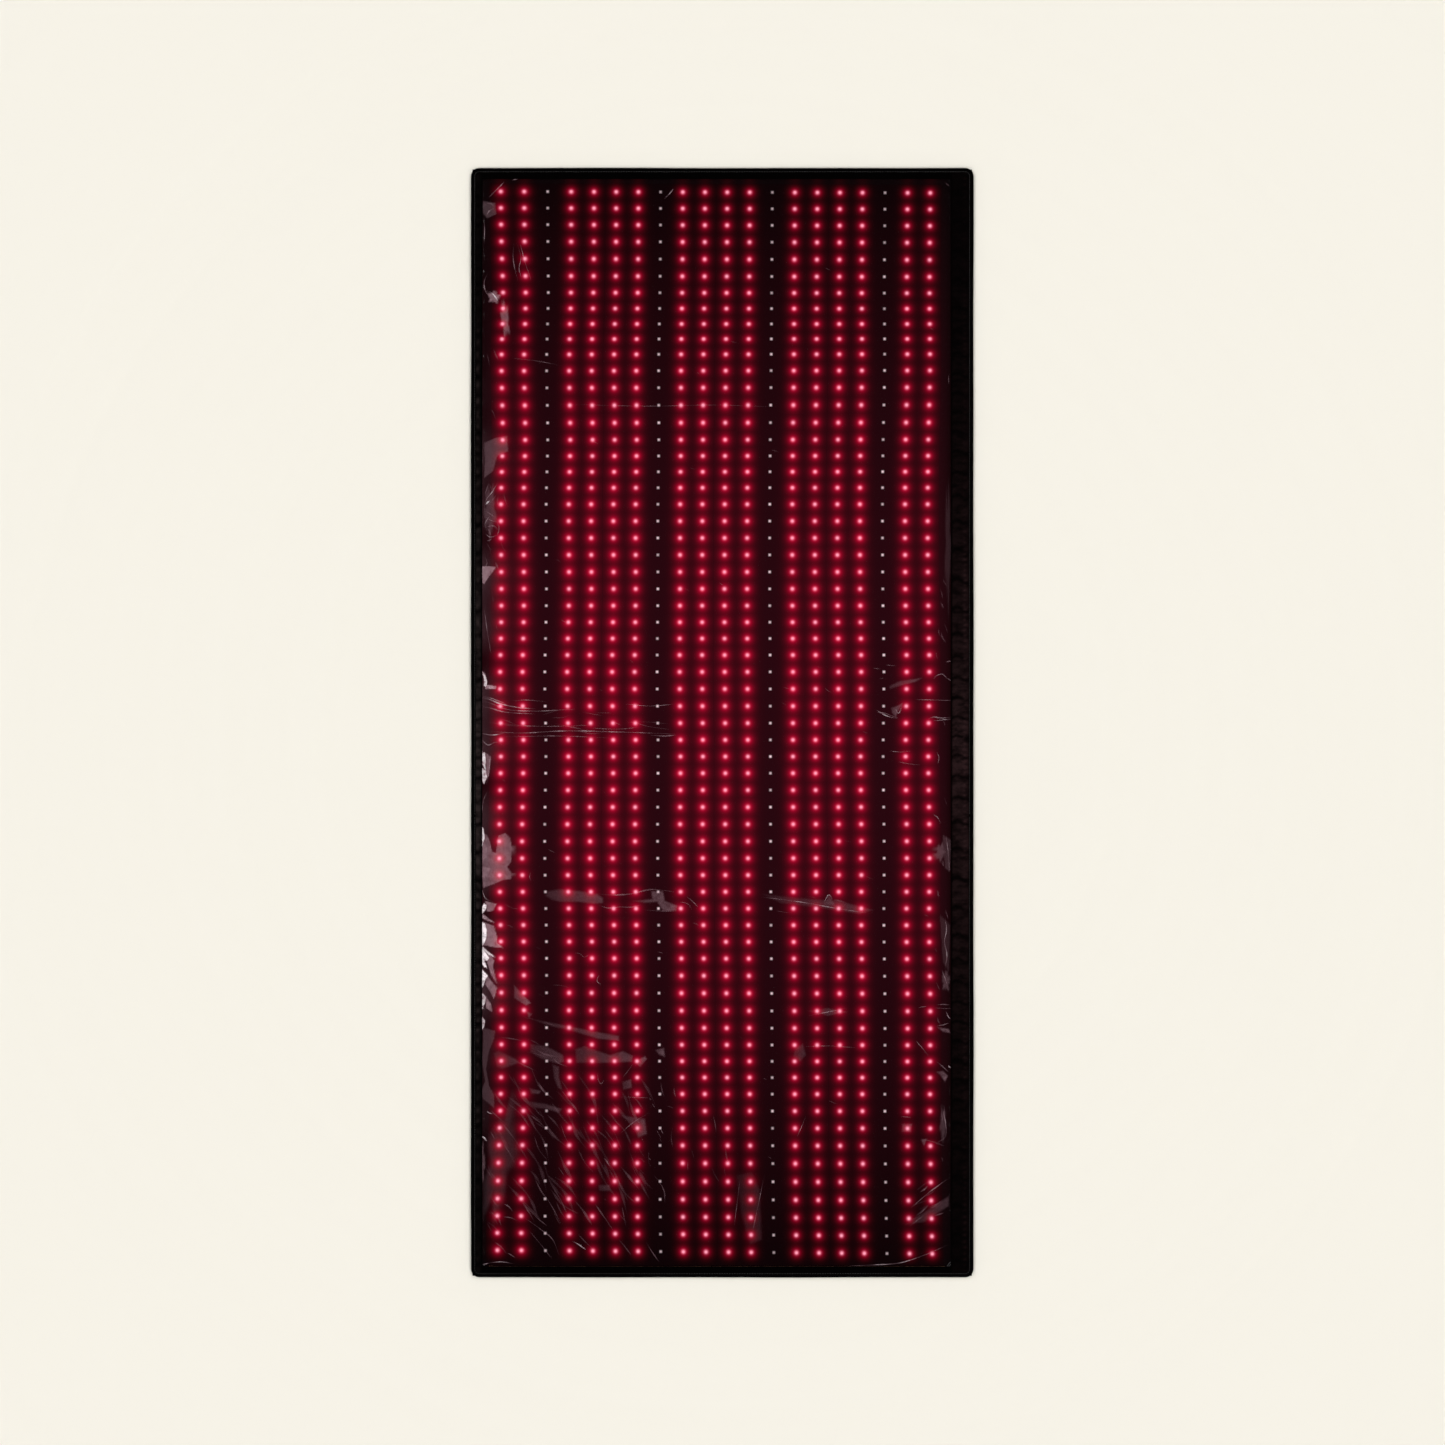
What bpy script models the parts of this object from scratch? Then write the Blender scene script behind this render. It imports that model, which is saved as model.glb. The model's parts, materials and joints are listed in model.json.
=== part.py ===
"""A red light therapy mat: a foam pad that carries four flexible boards of light-emitting diodes under a
clear window film, in a black fabric border with a taped edge. It folds across the middle of its length with
the lit side in, and the foot panel folds under, or hangs over the edge of a bed, at a second line.

Metres, +Z up. X runs across the width, +Y points to the head end and the lit side faces up. The origin is
the centre of the underside.
"""

import math

import bmesh
import bpy
from mathutils import Matrix, Vector

# Clearances
GAP = 0.0003  # between neighbouring pieces, and between the panels at a fold
OVERRUN = 0.002  # how far a cutter runs past the faces that it cuts

# The whole mat
WIDTH = 0.800
LENGTH = 1.766
CORNER_RADIUS = 0.013
CORNER_STEPS = 5
ARC_SHARE = 0.5  # the bevel profile that makes a corner a true arc

# The folds, from the middle of the length. Each is halfway between two rows of diodes.
HEAD_FOLD = -0.0140
FOOT_FOLD = -0.2825

# Diode grid. It fills the mat inside the margins, and each panel's rows share out its length.
LEFT_MARGIN = 0.028
RIGHT_MARGIN = 0.050
END_MARGIN = 0.0254
BOARD_COUNT = 4
BOARD_COLUMNS = 5
HEAD_ROWS = 33
MIDDLE_ROWS = 10
FOOT_ROWS = 21
DIODE_SIDE = 0.0050
DIODE_HEIGHT = 0.0016
DIODE_SEAT = 0.0002  # how far a diode's body is sunk into its board's solder layer
BOARD_SPACING = 0.0010  # between the long edges of neighbouring boards

# Border and window film, as seen from above
LEFT_BORDER = 0.018
RIGHT_BORDER = 0.036
END_BORDER = 0.0175
FILM_TUCK = 0.008  # the film's hidden edge under the border

# Edge tape, a channel folded over the rim
TAPE_WIDTH = 0.0075
TAPE_THICKNESS = 0.0008
TAPE_BEND = 0.0025  # outer radius where the tape turns over the edge
TAPE_BEND_STEPS = 3

# Layer thicknesses, from the floor up
BACK_THICKNESS = 0.0008
FOAM_THICKNESS = 0.0056
BOARD_THICKNESS = 0.0004
FILM_THICKNESS = 0.0005
BORDER_THICKNESS = 0.0008

# Power bus across the foot end of the boards
BUS_WIDTH = 0.0020
BUS_THICKNESS = 0.0004
BUS_SPACING = 0.0006
BUS_OVERHANG = 0.006  # past the right-hand board, where the leads start
BOARD_TAIL = 0.0130  # the boards' bare foot end, which the bus crosses

# Power inlet, a barrel socket in the foot edge near the right corner
INLET_FROM_SIDE = 0.028
INLET_WIDTH = 0.014
INLET_LENGTH = 0.014
INLET_RECESS = 0.0002  # of its nose behind the tape's outer face
NOSE_LENGTH = 0.0030
NOSE_WALL = 0.00085
BORE_RADIUS = 0.00285
BORE_DEPTH = 0.0095
PIN_RADIUS = 0.0010
PIN_SETBACK = 0.0010  # of the pin's tip behind the mouth
SPRING_WIDTH = 0.0018
SPRING_THICKNESS = 0.0003
TERMINAL_LENGTH = 0.0015  # of the contacts behind the housing
POCKET_ROOM = 0.0080  # in the foam behind the housing, for the leads
LEAD_RADIUS = 0.0007
LEAD_STEPS = 4
LEAD_CLEARANCE = 0.0021  # of a lead from the pocket's wall where it turns up
POSITIVE_LEAD_TURN = 0.0020  # where each lead turns up, behind its contact
NEGATIVE_LEAD_TURN = 0.0050
ROUND_STEPS = 24

# Places that follow from the values above
GRID_WIDTH = WIDTH - LEFT_MARGIN - RIGHT_MARGIN
BOARD_PITCH = GRID_WIDTH / BOARD_COUNT
COLUMN_PITCH = BOARD_PITCH / BOARD_COLUMNS
LEFT, RIGHT = -WIDTH / 2, WIDTH / 2
FOOT, HEAD = -LENGTH / 2, LENGTH / 2
GRID_LEFT = LEFT + LEFT_MARGIN
GRID_HEAD = HEAD - END_MARGIN
GRID_FOOT = FOOT + END_MARGIN

# Heights that follow from the layers
FOAM_LOW = BACK_THICKNESS + GAP
FOAM_TOP = FOAM_LOW + FOAM_THICKNESS
BOARD_LOW = FOAM_TOP + GAP
BOARD_TOP = BOARD_LOW + BOARD_THICKNESS
DIODE_TOP = BOARD_TOP + DIODE_HEIGHT
FILM_LOW = DIODE_TOP + GAP
FILM_TOP = FILM_LOW + FILM_THICKNESS
BORDER_LOW = FILM_TOP + GAP
BORDER_TOP = BORDER_LOW + BORDER_THICKNESS
THICKNESS = BORDER_TOP + GAP + TAPE_THICKNESS

# Each panel: its name, its span along the length and the ends of it that lie on the mat's edge
PANELS = {
    "head": (HEAD_FOLD + GAP / 2, HEAD, (1,)),
    "middle": (FOOT_FOLD + GAP / 2, HEAD_FOLD - GAP / 2, ()),
    "foot": (FOOT, FOOT_FOLD - GAP / 2, (-1,)),
}

# Each panel's rows of diodes: how many, and the span along the length that they share out
PANEL_ROWS = {
    "head": (HEAD_ROWS, HEAD_FOLD, GRID_HEAD),
    "middle": (MIDDLE_ROWS, FOOT_FOLD, HEAD_FOLD),
    "foot": (FOOT_ROWS, GRID_FOOT, FOOT_FOLD),
}

# Colours: red, green, blue, then roughness, metallic and alpha
FINISHES = {
    "back_fabric": ((0.020, 0.019, 0.021), 0.85, 0.0, 1.0),
    "foam": ((0.060, 0.055, 0.058), 0.95, 0.0, 1.0),
    "board": ((0.030, 0.010, 0.013), 0.60, 0.0, 1.0),
    "film": ((0.80, 0.72, 0.74), 0.08, 0.0, 0.18),
    "border_fabric": ((0.018, 0.016, 0.019), 0.80, 0.0, 1.0),
    "edge_tape": ((0.012, 0.011, 0.013), 0.70, 0.0, 1.0),
    "copper": ((0.72, 0.42, 0.26), 0.35, 1.0, 1.0),
    "lead_sleeve": ((0.020, 0.020, 0.022), 0.55, 0.0, 1.0),
    "inlet_plastic": ((0.025, 0.025, 0.027), 0.50, 0.0, 1.0),
    "contact": ((0.78, 0.62, 0.30), 0.30, 1.0, 1.0),
}


def clear_scene():
    for thing in list(bpy.data.objects):
        bpy.data.objects.remove(thing)


def new_collection(name):
    collection = bpy.data.collections.new(name)
    bpy.context.scene.collection.children.link(collection)
    return collection


def new_material(name):
    colour, roughness, metallic, alpha = FINISHES[name]
    material = bpy.data.materials.new(name)
    material.use_nodes = True
    shader = material.node_tree.nodes["Principled BSDF"]
    shader.inputs["Base Color"].default_value = (*colour, 1)
    shader.inputs["Roughness"].default_value = roughness
    shader.inputs["Metallic"].default_value = metallic
    shader.inputs["Alpha"].default_value = alpha
    return material


def new_pivot(name, place):
    """An empty on a fold's axis, which carries the panel that turns there."""
    pivot = bpy.data.objects.new(name, None)
    pivot.location = place
    pivot.empty_display_size = TAPE_WIDTH
    parts.objects.link(pivot)
    bpy.context.view_layer.update()
    return pivot


def add_object(name, data, finish, panel):
    thing = bpy.data.objects.new(name, data)
    data.materials.append(materials[finish])
    parts.objects.link(thing)
    if pivots[panel]:
        thing.parent = pivots[panel]
        thing.matrix_parent_inverse = pivots[panel].matrix_world.inverted()
    return thing


def mesh_from(name, bm):
    mesh = bpy.data.meshes.new(name)
    bm.to_mesh(mesh)
    bm.free()
    return mesh


def box_mesh(name, low, high, rounded=(), radius=0.0):
    """A box between two corners, with round upright edges at the corners in rounded, as signs of x and y."""
    bm = bmesh.new()
    bmesh.ops.create_cube(bm, size=1)
    low, high = Vector(low), Vector(high)
    middle = (low + high) / 2
    bmesh.ops.scale(bm, vec=high - low, verts=bm.verts)
    upright = [
        edge
        for edge in bm.edges
        if abs(edge.verts[0].co.z - edge.verts[1].co.z) > 0
        and tuple(math.copysign(1, c) for c in edge.verts[0].co.xy) in rounded
    ]
    if upright:
        bmesh.ops.bevel(
            bm,
            geom=upright,
            offset=radius,
            segments=CORNER_STEPS,
            profile=ARC_SHARE,
            affect="EDGES",
        )
    bmesh.ops.translate(bm, vec=middle, verts=bm.verts)
    return mesh_from(name, bm)


def add_box(name, low, high, finish, panel, rounded=(), radius=0.0):
    return add_object(name, box_mesh(name, low, high, rounded, radius), finish, panel)


def add_cylinder(name, radius, start, end):
    """A rod along Y between two points, outside the model's collections until it is linked."""
    bm = bmesh.new()
    length = end.y - start.y
    bmesh.ops.create_cone(
        bm,
        cap_ends=True,
        segments=ROUND_STEPS,
        radius1=radius,
        radius2=radius,
        depth=length,
    )
    bmesh.ops.rotate(bm, matrix=Matrix.Rotation(math.pi / 2, 3, "X"), verts=bm.verts)
    bmesh.ops.translate(bm, vec=(start + end) / 2, verts=bm.verts)
    return mesh_from(name, bm)


def add_helper(name, mesh):
    """A cutter or a shape to join: drawn as wire and left out of the model."""
    helper = bpy.data.objects.new(name, mesh)
    helper.hide_render = True
    helper.display_type = "WIRE"
    helpers.objects.link(helper)
    return helper


def combine(thing, helper, operation):
    boolean = thing.modifiers.new(f"{operation.lower()} {helper.name}", "BOOLEAN")
    boolean.operation = operation
    boolean.object = helper


def edges_of_panel(panel, inset):
    """The panel's span along Y, drawn in by inset where its end lies on the mat's edge."""
    low, high, outer_ends = PANELS[panel]
    if -1 in outer_ends:
        low += inset
    if 1 in outer_ends:
        high -= inset
    return low, high


def outer_corners(panel, sides=(-1, 1)):
    """The panel's corners on the mat's own corners, as signs of x and y."""
    return [(side, end) for side in sides for end in PANELS[panel][2]]


def add_back_cover(panel):
    inset = TAPE_WIDTH + GAP
    low, high = edges_of_panel(panel, inset)
    add_box(
        f"back_cover_{panel}",
        (LEFT + inset, low, 0),
        (RIGHT - inset, high, BACK_THICKNESS),
        "back_fabric",
        panel,
        outer_corners(panel),
        CORNER_RADIUS - inset,
    )


def add_foam_pad(panel):
    low, high = edges_of_panel(panel, TAPE_BEND)
    return add_box(
        f"foam_pad_{panel}",
        (LEFT + TAPE_BEND, low, FOAM_LOW),
        (RIGHT - TAPE_BEND, high, FOAM_TOP),
        "foam",
        panel,
        outer_corners(panel),
        CORNER_RADIUS - TAPE_BEND,
    )


def diode_grid(name, left, panel):
    """One board's diodes on one panel: a single body repeated along X and Y."""
    rows, low, high = PANEL_ROWS[panel]
    row_pitch = (high - low) / rows
    first = Vector((left + COLUMN_PITCH / 2, low + row_pitch / 2, BOARD_TOP - DIODE_SEAT))
    half = Vector((DIODE_SIDE / 2, DIODE_SIDE / 2, 0))
    rise = Vector((0, 0, DIODE_SEAT + DIODE_HEIGHT))
    helper = add_helper(name, box_mesh(name, first - half, first + half + rise))
    for axis, (count, pitch) in enumerate(
        ((BOARD_COLUMNS, COLUMN_PITCH), (rows, row_pitch))
    ):
        array = helper.modifiers.new("columns" if axis == 0 else "rows", "ARRAY")
        array.count = count
        array.use_relative_offset = False
        array.use_constant_offset = True
        array.constant_offset_displace = Vector((0, 0, 0))
        array.constant_offset_displace[axis] = pitch
    return helper


def add_led_board(number, panel):
    """A flexible board with its diodes. Its foot end has a bare tail, which the bus crosses."""
    left = GRID_LEFT + (number - 1) * BOARD_PITCH
    low, high = edges_of_panel(panel, END_MARGIN)
    if panel == "foot":
        low -= BOARD_TAIL
    board = add_box(
        f"led_board_{number}_{panel}",
        (left + BOARD_SPACING / 2, low, BOARD_LOW),
        (left + BOARD_PITCH - BOARD_SPACING / 2, high, BOARD_TOP),
        "board",
        panel,
    )
    combine(board, diode_grid(f"diodes_{number}_{panel}", left, panel), "UNION")


def add_window_film(panel):
    low, high = edges_of_panel(panel, END_BORDER - FILM_TUCK)
    add_box(
        f"window_film_{panel}",
        (LEFT + LEFT_BORDER - FILM_TUCK, low, FILM_LOW),
        (RIGHT - RIGHT_BORDER + FILM_TUCK, high, FILM_TOP),
        "film",
        panel,
    )


def add_side_borders(panel):
    low, high = edges_of_panel(panel, TAPE_BEND)
    spans = {
        "left": (LEFT + TAPE_BEND, LEFT + LEFT_BORDER, -1),
        "right": (RIGHT - RIGHT_BORDER, RIGHT - TAPE_BEND, 1),
    }
    for side, (inner, outer, sign) in spans.items():
        add_box(
            f"side_border_{side}_{panel}",
            (inner, low, BORDER_LOW),
            (outer, high, BORDER_TOP),
            "border_fabric",
            panel,
            outer_corners(panel, (sign,)),
            CORNER_RADIUS - TAPE_BEND,
        )


def add_end_border(panel):
    low, high = edges_of_panel(panel, TAPE_BEND)
    if panel == "head":
        low = HEAD - END_BORDER
    else:
        high = FOOT + END_BORDER
    add_box(
        f"{panel}_border",
        (LEFT + LEFT_BORDER + GAP, low, BORDER_LOW),
        (RIGHT - RIGHT_BORDER - GAP, high, BORDER_TOP),
        "border_fabric",
        panel,
    )


def tape_section():
    """The tape's outer face in section, as its inset from the edge and its height, from the top leg down."""
    points = [(TAPE_WIDTH, THICKNESS)]
    for step in range(TAPE_BEND_STEPS + 1):
        angle = math.pi / 2 * step / TAPE_BEND_STEPS
        inset = TAPE_BEND * (1 - math.sin(angle))
        points.append((inset, THICKNESS - TAPE_BEND * (1 - math.cos(angle))))
    for step in range(TAPE_BEND_STEPS + 1):
        angle = math.pi / 2 * step / TAPE_BEND_STEPS
        inset = TAPE_BEND * (1 - math.cos(angle))
        points.append((inset, TAPE_BEND * (1 - math.sin(angle))))
    points.append((TAPE_WIDTH, 0))
    return points


def add_tape(name, panel, start, inward, legs):
    """The edge tape along legs from start: a vector is a straight run, and a centre with an angle is a turn."""
    bm = bmesh.new()
    verts = [
        bm.verts.new(Vector((start.x, start.y, 0)) + inward * inset + Vector((0, 0, z)))
        for inset, z in tape_section()
    ]
    section = [bm.edges.new(pair) for pair in zip(verts, verts[1:])]
    for leg in legs:
        if isinstance(leg, Vector):
            made = bmesh.ops.extrude_edge_only(bm, edges=section)["geom"]
            moved = [item for item in made if isinstance(item, bmesh.types.BMVert)]
            bmesh.ops.translate(bm, vec=leg, verts=moved)
        else:
            centre, angle = leg
            made = bmesh.ops.spin(
                bm,
                geom=section,
                cent=centre,
                axis=Vector((0, 0, 1)),
                angle=angle,
                steps=CORNER_STEPS,
            )["geom_last"]
        section = [item for item in made if isinstance(item, bmesh.types.BMEdge)]
    bmesh.ops.recalc_face_normals(bm, faces=bm.faces)
    tape = add_object(name, mesh_from(name, bm), "edge_tape", panel)
    solidify = tape.modifiers.new("thickness", "SOLIDIFY")
    solidify.thickness = TAPE_THICKNESS
    solidify.offset = -1
    solidify.use_even_offset = True
    return tape


def add_side_tapes(panel):
    low, high = edges_of_panel(panel, CORNER_RADIUS + GAP)
    run = Vector((0, high - low, 0))
    inward = Vector((1, 0, 0))
    add_tape(f"side_tape_left_{panel}", panel, Vector((LEFT, low, 0)), inward, [run])
    add_tape(f"side_tape_right_{panel}", panel, Vector((RIGHT, low, 0)), -inward, [run])


def add_end_tape(panel):
    """The tape of one end, round both of its corners."""
    end = 1 if panel == "head" else -1
    along = end * (LENGTH / 2 - CORNER_RADIUS)
    left_centre = Vector((LEFT + CORNER_RADIUS, along, 0))
    right_centre = Vector((RIGHT - CORNER_RADIUS, along, 0))
    legs = [
        (left_centre, -end * math.pi / 2),
        right_centre - left_centre,
        (right_centre, -end * math.pi / 2),
    ]
    start = Vector((LEFT, along, 0))
    return add_tape(f"{panel}_tape", panel, start, Vector((1, 0, 0)), legs)


def add_bus():
    """Two flat conductors across the foot ends of all the boards."""
    left = GRID_LEFT + BOARD_SPACING
    right = GRID_LEFT + GRID_WIDTH + BUS_OVERHANG
    low = GRID_FOOT - BOARD_TAIL + GAP
    height = BOARD_TOP + GAP
    ends = {}
    for name in ("bus_positive", "bus_negative"):
        add_box(
            name,
            (left, low, height),
            (right, low + BUS_WIDTH, height + BUS_THICKNESS),
            "copper",
            "foot",
        )
        ends[name] = Vector((right, low + BUS_WIDTH / 2, height + BUS_THICKNESS / 2))
        low += BUS_WIDTH + BUS_SPACING
    return ends


def add_inlet(foam, tape):
    """The barrel socket, its two contacts, and the room for it in the foam and the tape."""
    bottom = TAPE_THICKNESS + GAP
    top = FILM_LOW - GAP
    middle = Vector((RIGHT - INLET_FROM_SIDE, FOOT, (bottom + top) / 2))
    front = FOOT + INLET_RECESS
    shoulder = front + NOSE_LENGTH
    rear = shoulder + INLET_LENGTH
    half = INLET_WIDTH / 2

    def at(y, dz=0.0):
        return Vector((middle.x, y, middle.z + dz))

    housing = add_box(
        "inlet_housing",
        (middle.x - half, shoulder, bottom),
        (middle.x + half, rear, top),
        "inlet_plastic",
        "foot",
    )
    nose_radius = BORE_RADIUS + NOSE_WALL
    nose = add_cylinder("inlet_nose", nose_radius, at(front), at(shoulder + GAP))
    combine(housing, add_helper("inlet_nose", nose), "UNION")
    bore = add_cylinder(
        "inlet_bore", BORE_RADIUS, at(front - OVERRUN), at(front + BORE_DEPTH)
    )
    combine(housing, add_helper("inlet_bore", bore), "DIFFERENCE")
    pin_hole = add_cylinder("pin_hole", PIN_RADIUS + GAP, at(front), at(rear + OVERRUN))
    combine(housing, add_helper("pin_hole", pin_hole), "DIFFERENCE")

    spring_top = -BORE_RADIUS
    spring_low = spring_top - SPRING_THICKNESS
    reach = SPRING_WIDTH / 2
    slot_start = shoulder + NOSE_WALL
    slot = box_mesh(
        "spring_slot",
        at(slot_start, spring_low - GAP) - Vector((reach + GAP, 0, 0)),
        at(rear + OVERRUN, spring_top + GAP) + Vector((reach + GAP, 0, 0)),
    )
    combine(housing, add_helper("spring_slot", slot), "DIFFERENCE")

    contacts = {}
    pin = add_cylinder(
        "inlet_pin", PIN_RADIUS, at(front + PIN_SETBACK), at(rear + TERMINAL_LENGTH)
    )
    add_object("inlet_pin", pin, "contact", "foot")
    contacts["lead_positive"] = at(rear + TERMINAL_LENGTH)
    add_box(
        "inlet_spring",
        at(slot_start + GAP, spring_low) - Vector((reach, 0, 0)),
        at(rear + TERMINAL_LENGTH, spring_top) + Vector((reach, 0, 0)),
        "contact",
        "foot",
    )
    contacts["lead_negative"] = at(
        rear + TERMINAL_LENGTH, spring_low + SPRING_THICKNESS / 2
    )

    pocket = box_mesh(
        "inlet_pocket",
        (middle.x - half - GAP, FOOT, FOAM_LOW - OVERRUN),
        (middle.x + half + GAP, rear + POCKET_ROOM, FOAM_TOP + OVERRUN),
    )
    combine(foam, add_helper("inlet_pocket", pocket), "DIFFERENCE")
    eyelet = add_cylinder(
        "tape_eyelet", nose_radius + GAP, at(FOOT - OVERRUN), at(shoulder)
    )
    combine(tape, add_helper("tape_eyelet", eyelet), "DIFFERENCE")
    return contacts


def add_lead(name, contact, bus_end, turn):
    """A sleeved wire from a contact of the inlet, over the pocket's edge, to the right-hand end of a bus."""
    side = Vector((BUS_OVERHANG, 0, 0))
    start = contact + Vector((0, GAP, 0))
    end = bus_end + Vector((GAP, 0, 0))
    back = start.y + turn
    over = FOAM_TOP + GAP + LEAD_RADIUS
    wall = contact.x - INLET_WIDTH / 2 - GAP
    points = [
        start,
        Vector((start.x, back, start.z)),
        Vector((wall + LEAD_CLEARANCE, back, over)),
        Vector((wall - turn / 2, back, over)),
        Vector((end.x + side.x / 2 - turn / 4, end.y, end.z)),
        end,
    ]
    curve = bpy.data.curves.new(name, "CURVE")
    curve.dimensions = "3D"
    curve.bevel_depth = LEAD_RADIUS
    curve.bevel_resolution = 1
    curve.use_fill_caps = True
    curve.resolution_u = LEAD_STEPS
    spline = curve.splines.new("NURBS")
    spline.points.add(len(points) - 1)
    for knot, place in zip(spline.points, points):
        knot.co = (*place, 1)
    spline.use_endpoint_u = True
    spline.order_u = 3
    add_object(name, curve, "lead_sleeve", "foot")


clear_scene()
parts = new_collection("red_light_therapy_mat")
helpers = new_collection("cutters")
materials = {name: new_material(name) for name in FINISHES}
pivots = {
    "head": new_pivot("head_fold_axis", (0, HEAD_FOLD, THICKNESS + GAP / 2)),
    "middle": None,
    "foot": new_pivot("foot_fold_axis", (0, FOOT_FOLD, -GAP / 2)),
}
foam_pads = {}
for panel_name in PANELS:
    add_back_cover(panel_name)
    foam_pads[panel_name] = add_foam_pad(panel_name)
    for board_number in range(1, BOARD_COUNT + 1):
        add_led_board(board_number, panel_name)
    add_window_film(panel_name)
    add_side_borders(panel_name)
    add_side_tapes(panel_name)
add_end_border("head")
add_end_border("foot")
add_end_tape("head")
foot_tape = add_end_tape("foot")
bus_ends = add_bus()
inlet_contacts = add_inlet(foam_pads["foot"], foot_tape)
for pole, lead_turn in (("positive", POSITIVE_LEAD_TURN), ("negative", NEGATIVE_LEAD_TURN)):
    add_lead(f"lead_{pole}", inlet_contacts[f"lead_{pole}"], bus_ends[f"bus_{pole}"], lead_turn)
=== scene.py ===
import json
import math

import bmesh
import bpy
import numpy as np
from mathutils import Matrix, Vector


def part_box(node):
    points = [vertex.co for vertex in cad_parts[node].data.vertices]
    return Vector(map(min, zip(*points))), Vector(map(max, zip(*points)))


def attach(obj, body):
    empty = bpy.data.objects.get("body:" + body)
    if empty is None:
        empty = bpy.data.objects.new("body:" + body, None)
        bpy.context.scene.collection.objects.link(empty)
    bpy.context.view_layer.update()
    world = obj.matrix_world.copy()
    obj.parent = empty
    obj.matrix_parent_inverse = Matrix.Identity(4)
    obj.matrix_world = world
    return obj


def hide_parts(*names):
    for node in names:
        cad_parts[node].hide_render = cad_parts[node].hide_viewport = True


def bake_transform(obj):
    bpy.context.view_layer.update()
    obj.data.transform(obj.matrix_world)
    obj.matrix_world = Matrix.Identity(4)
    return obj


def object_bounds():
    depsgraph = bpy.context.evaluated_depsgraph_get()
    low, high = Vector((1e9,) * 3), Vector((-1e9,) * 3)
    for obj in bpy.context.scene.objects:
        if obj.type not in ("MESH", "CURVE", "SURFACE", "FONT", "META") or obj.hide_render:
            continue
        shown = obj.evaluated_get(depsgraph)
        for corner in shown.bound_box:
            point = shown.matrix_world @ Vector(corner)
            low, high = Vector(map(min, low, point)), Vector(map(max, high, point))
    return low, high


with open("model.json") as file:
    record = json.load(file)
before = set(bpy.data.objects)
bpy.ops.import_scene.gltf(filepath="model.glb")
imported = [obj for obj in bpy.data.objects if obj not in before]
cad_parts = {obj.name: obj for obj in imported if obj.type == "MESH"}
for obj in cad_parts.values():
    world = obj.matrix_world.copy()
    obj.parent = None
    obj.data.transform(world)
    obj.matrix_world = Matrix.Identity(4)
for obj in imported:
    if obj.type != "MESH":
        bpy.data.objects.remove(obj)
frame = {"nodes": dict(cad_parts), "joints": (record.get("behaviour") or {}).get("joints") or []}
cad_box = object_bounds()

MM = 0.001
TURN = 2 * math.pi

# The photograph looks straight down. One of its pixels covers this much of the mat.
PHOTO_SIDE = 1445
PIXEL = 1.5914 * MM
MAT_AT = (722.2, 722.7)  # the mat's centre in the photograph
LENS, SENSOR = 100.0, 36.0

# Light and backdrop
CREAM = (0.930, 0.896, 0.807)
SKY_LIGHT = 0.26
BACKDROP_FADE = (0.60, 0.90)  # heights of a unit sphere between which the backdrop darkens overhead
CEILING = 0.01
LAMP_AZIMUTHS = (-50, 40, 130, 220)  # degrees, each lamp a soft panel high over the mat
LAMP_ELEVATION, LAMP_SIZE, LAMP_POWER = 66, 12, 0.640

# Places from the frame
LEFT, FOOT = cad_box[0].x, cad_box[0].y
RIGHT, HEAD = cad_box[1].x, cad_box[1].y
FOLD_AT = {joint["name"]: joint["pos_m"][1] for joint in frame["joints"]}
HEAD_FOLD, FOOT_FOLD = FOLD_AT["head_fold"], FOLD_AT["foot_fold"]
SPLIT = (HEAD_FOLD + FOOT_FOLD) / 2  # where the long pieces are cut, amid the middle panel
FOLD_REACH = 0.010  # of the bend to each side of a fold
FOLD_STEP = 0.00125

WINDOW_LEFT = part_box("side_border_left_middle")[1].x
WINDOW_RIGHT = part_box("side_border_right_middle")[0].x
WINDOW_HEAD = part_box("head_border")[0].y
WINDOW_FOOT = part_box("foot_border")[1].y
BACK_LOW, BACK_TOP = (corner.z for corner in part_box("back_cover_middle"))
FOAM_LOW, FOAM_TOP = (corner.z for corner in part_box("foam_pad_middle"))
BOARD_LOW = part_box("led_board_1_middle")[0].z
FILM_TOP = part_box("window_film_middle")[1].z
BORDER_LOW, BORDER_TOP = (corner.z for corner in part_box("side_border_left_middle"))
TAPE_LOW, TAPE_TOP = (corner.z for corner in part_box("side_tape_left_middle"))

# The diode grid, in columns from the left and rows from the head
COLUMNS = 20
BOARD_COLUMNS = 5
INFRARED_COLUMN = 2  # of each board's five
BOARD_THICKNESS = 0.4 * MM
BOARD_GAP = 0.6 * MM
BOARD_TAIL = 13 * MM
BOARD_STEP, BOARD_STEP_ALONG = 12 * MM, 9 * MM
CAD_BOARD_GAP = 1.0 * MM
GRID_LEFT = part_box("led_board_1_head")[0].x - CAD_BOARD_GAP / 2
GRID_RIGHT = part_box("led_board_4_head")[1].x + CAD_BOARD_GAP / 2
GRID_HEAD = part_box("led_board_1_head")[1].y
GRID_FOOT = FOOT + HEAD - GRID_HEAD
COLUMN_PITCH = (GRID_RIGHT - GRID_LEFT) / COLUMNS
PANEL_ROWS = {  # first row, number of rows, and the span that they share out
    "head": (0, 33, HEAD_FOLD, GRID_HEAD),
    "middle": (33, 10, FOOT_FOLD, HEAD_FOLD),
    "foot": (43, 21, GRID_FOOT, FOOT_FOLD),
}
ROWS = 64
DIODE_PITCH = (GRID_HEAD - GRID_FOOT) / ROWS  # along the length, the panels' mean

# Each half of the mat's long pieces: its span, its fold, and the way from the middle panel to the other
HALVES = {
    "upper": {"span": (SPLIT, HEAD), "fold": HEAD_FOLD, "way": 1, "other": "head_panel"},
    "lower": {"span": (FOOT, SPLIT), "fold": FOOT_FOLD, "way": -1, "other": "foot_panel"},
}

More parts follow.
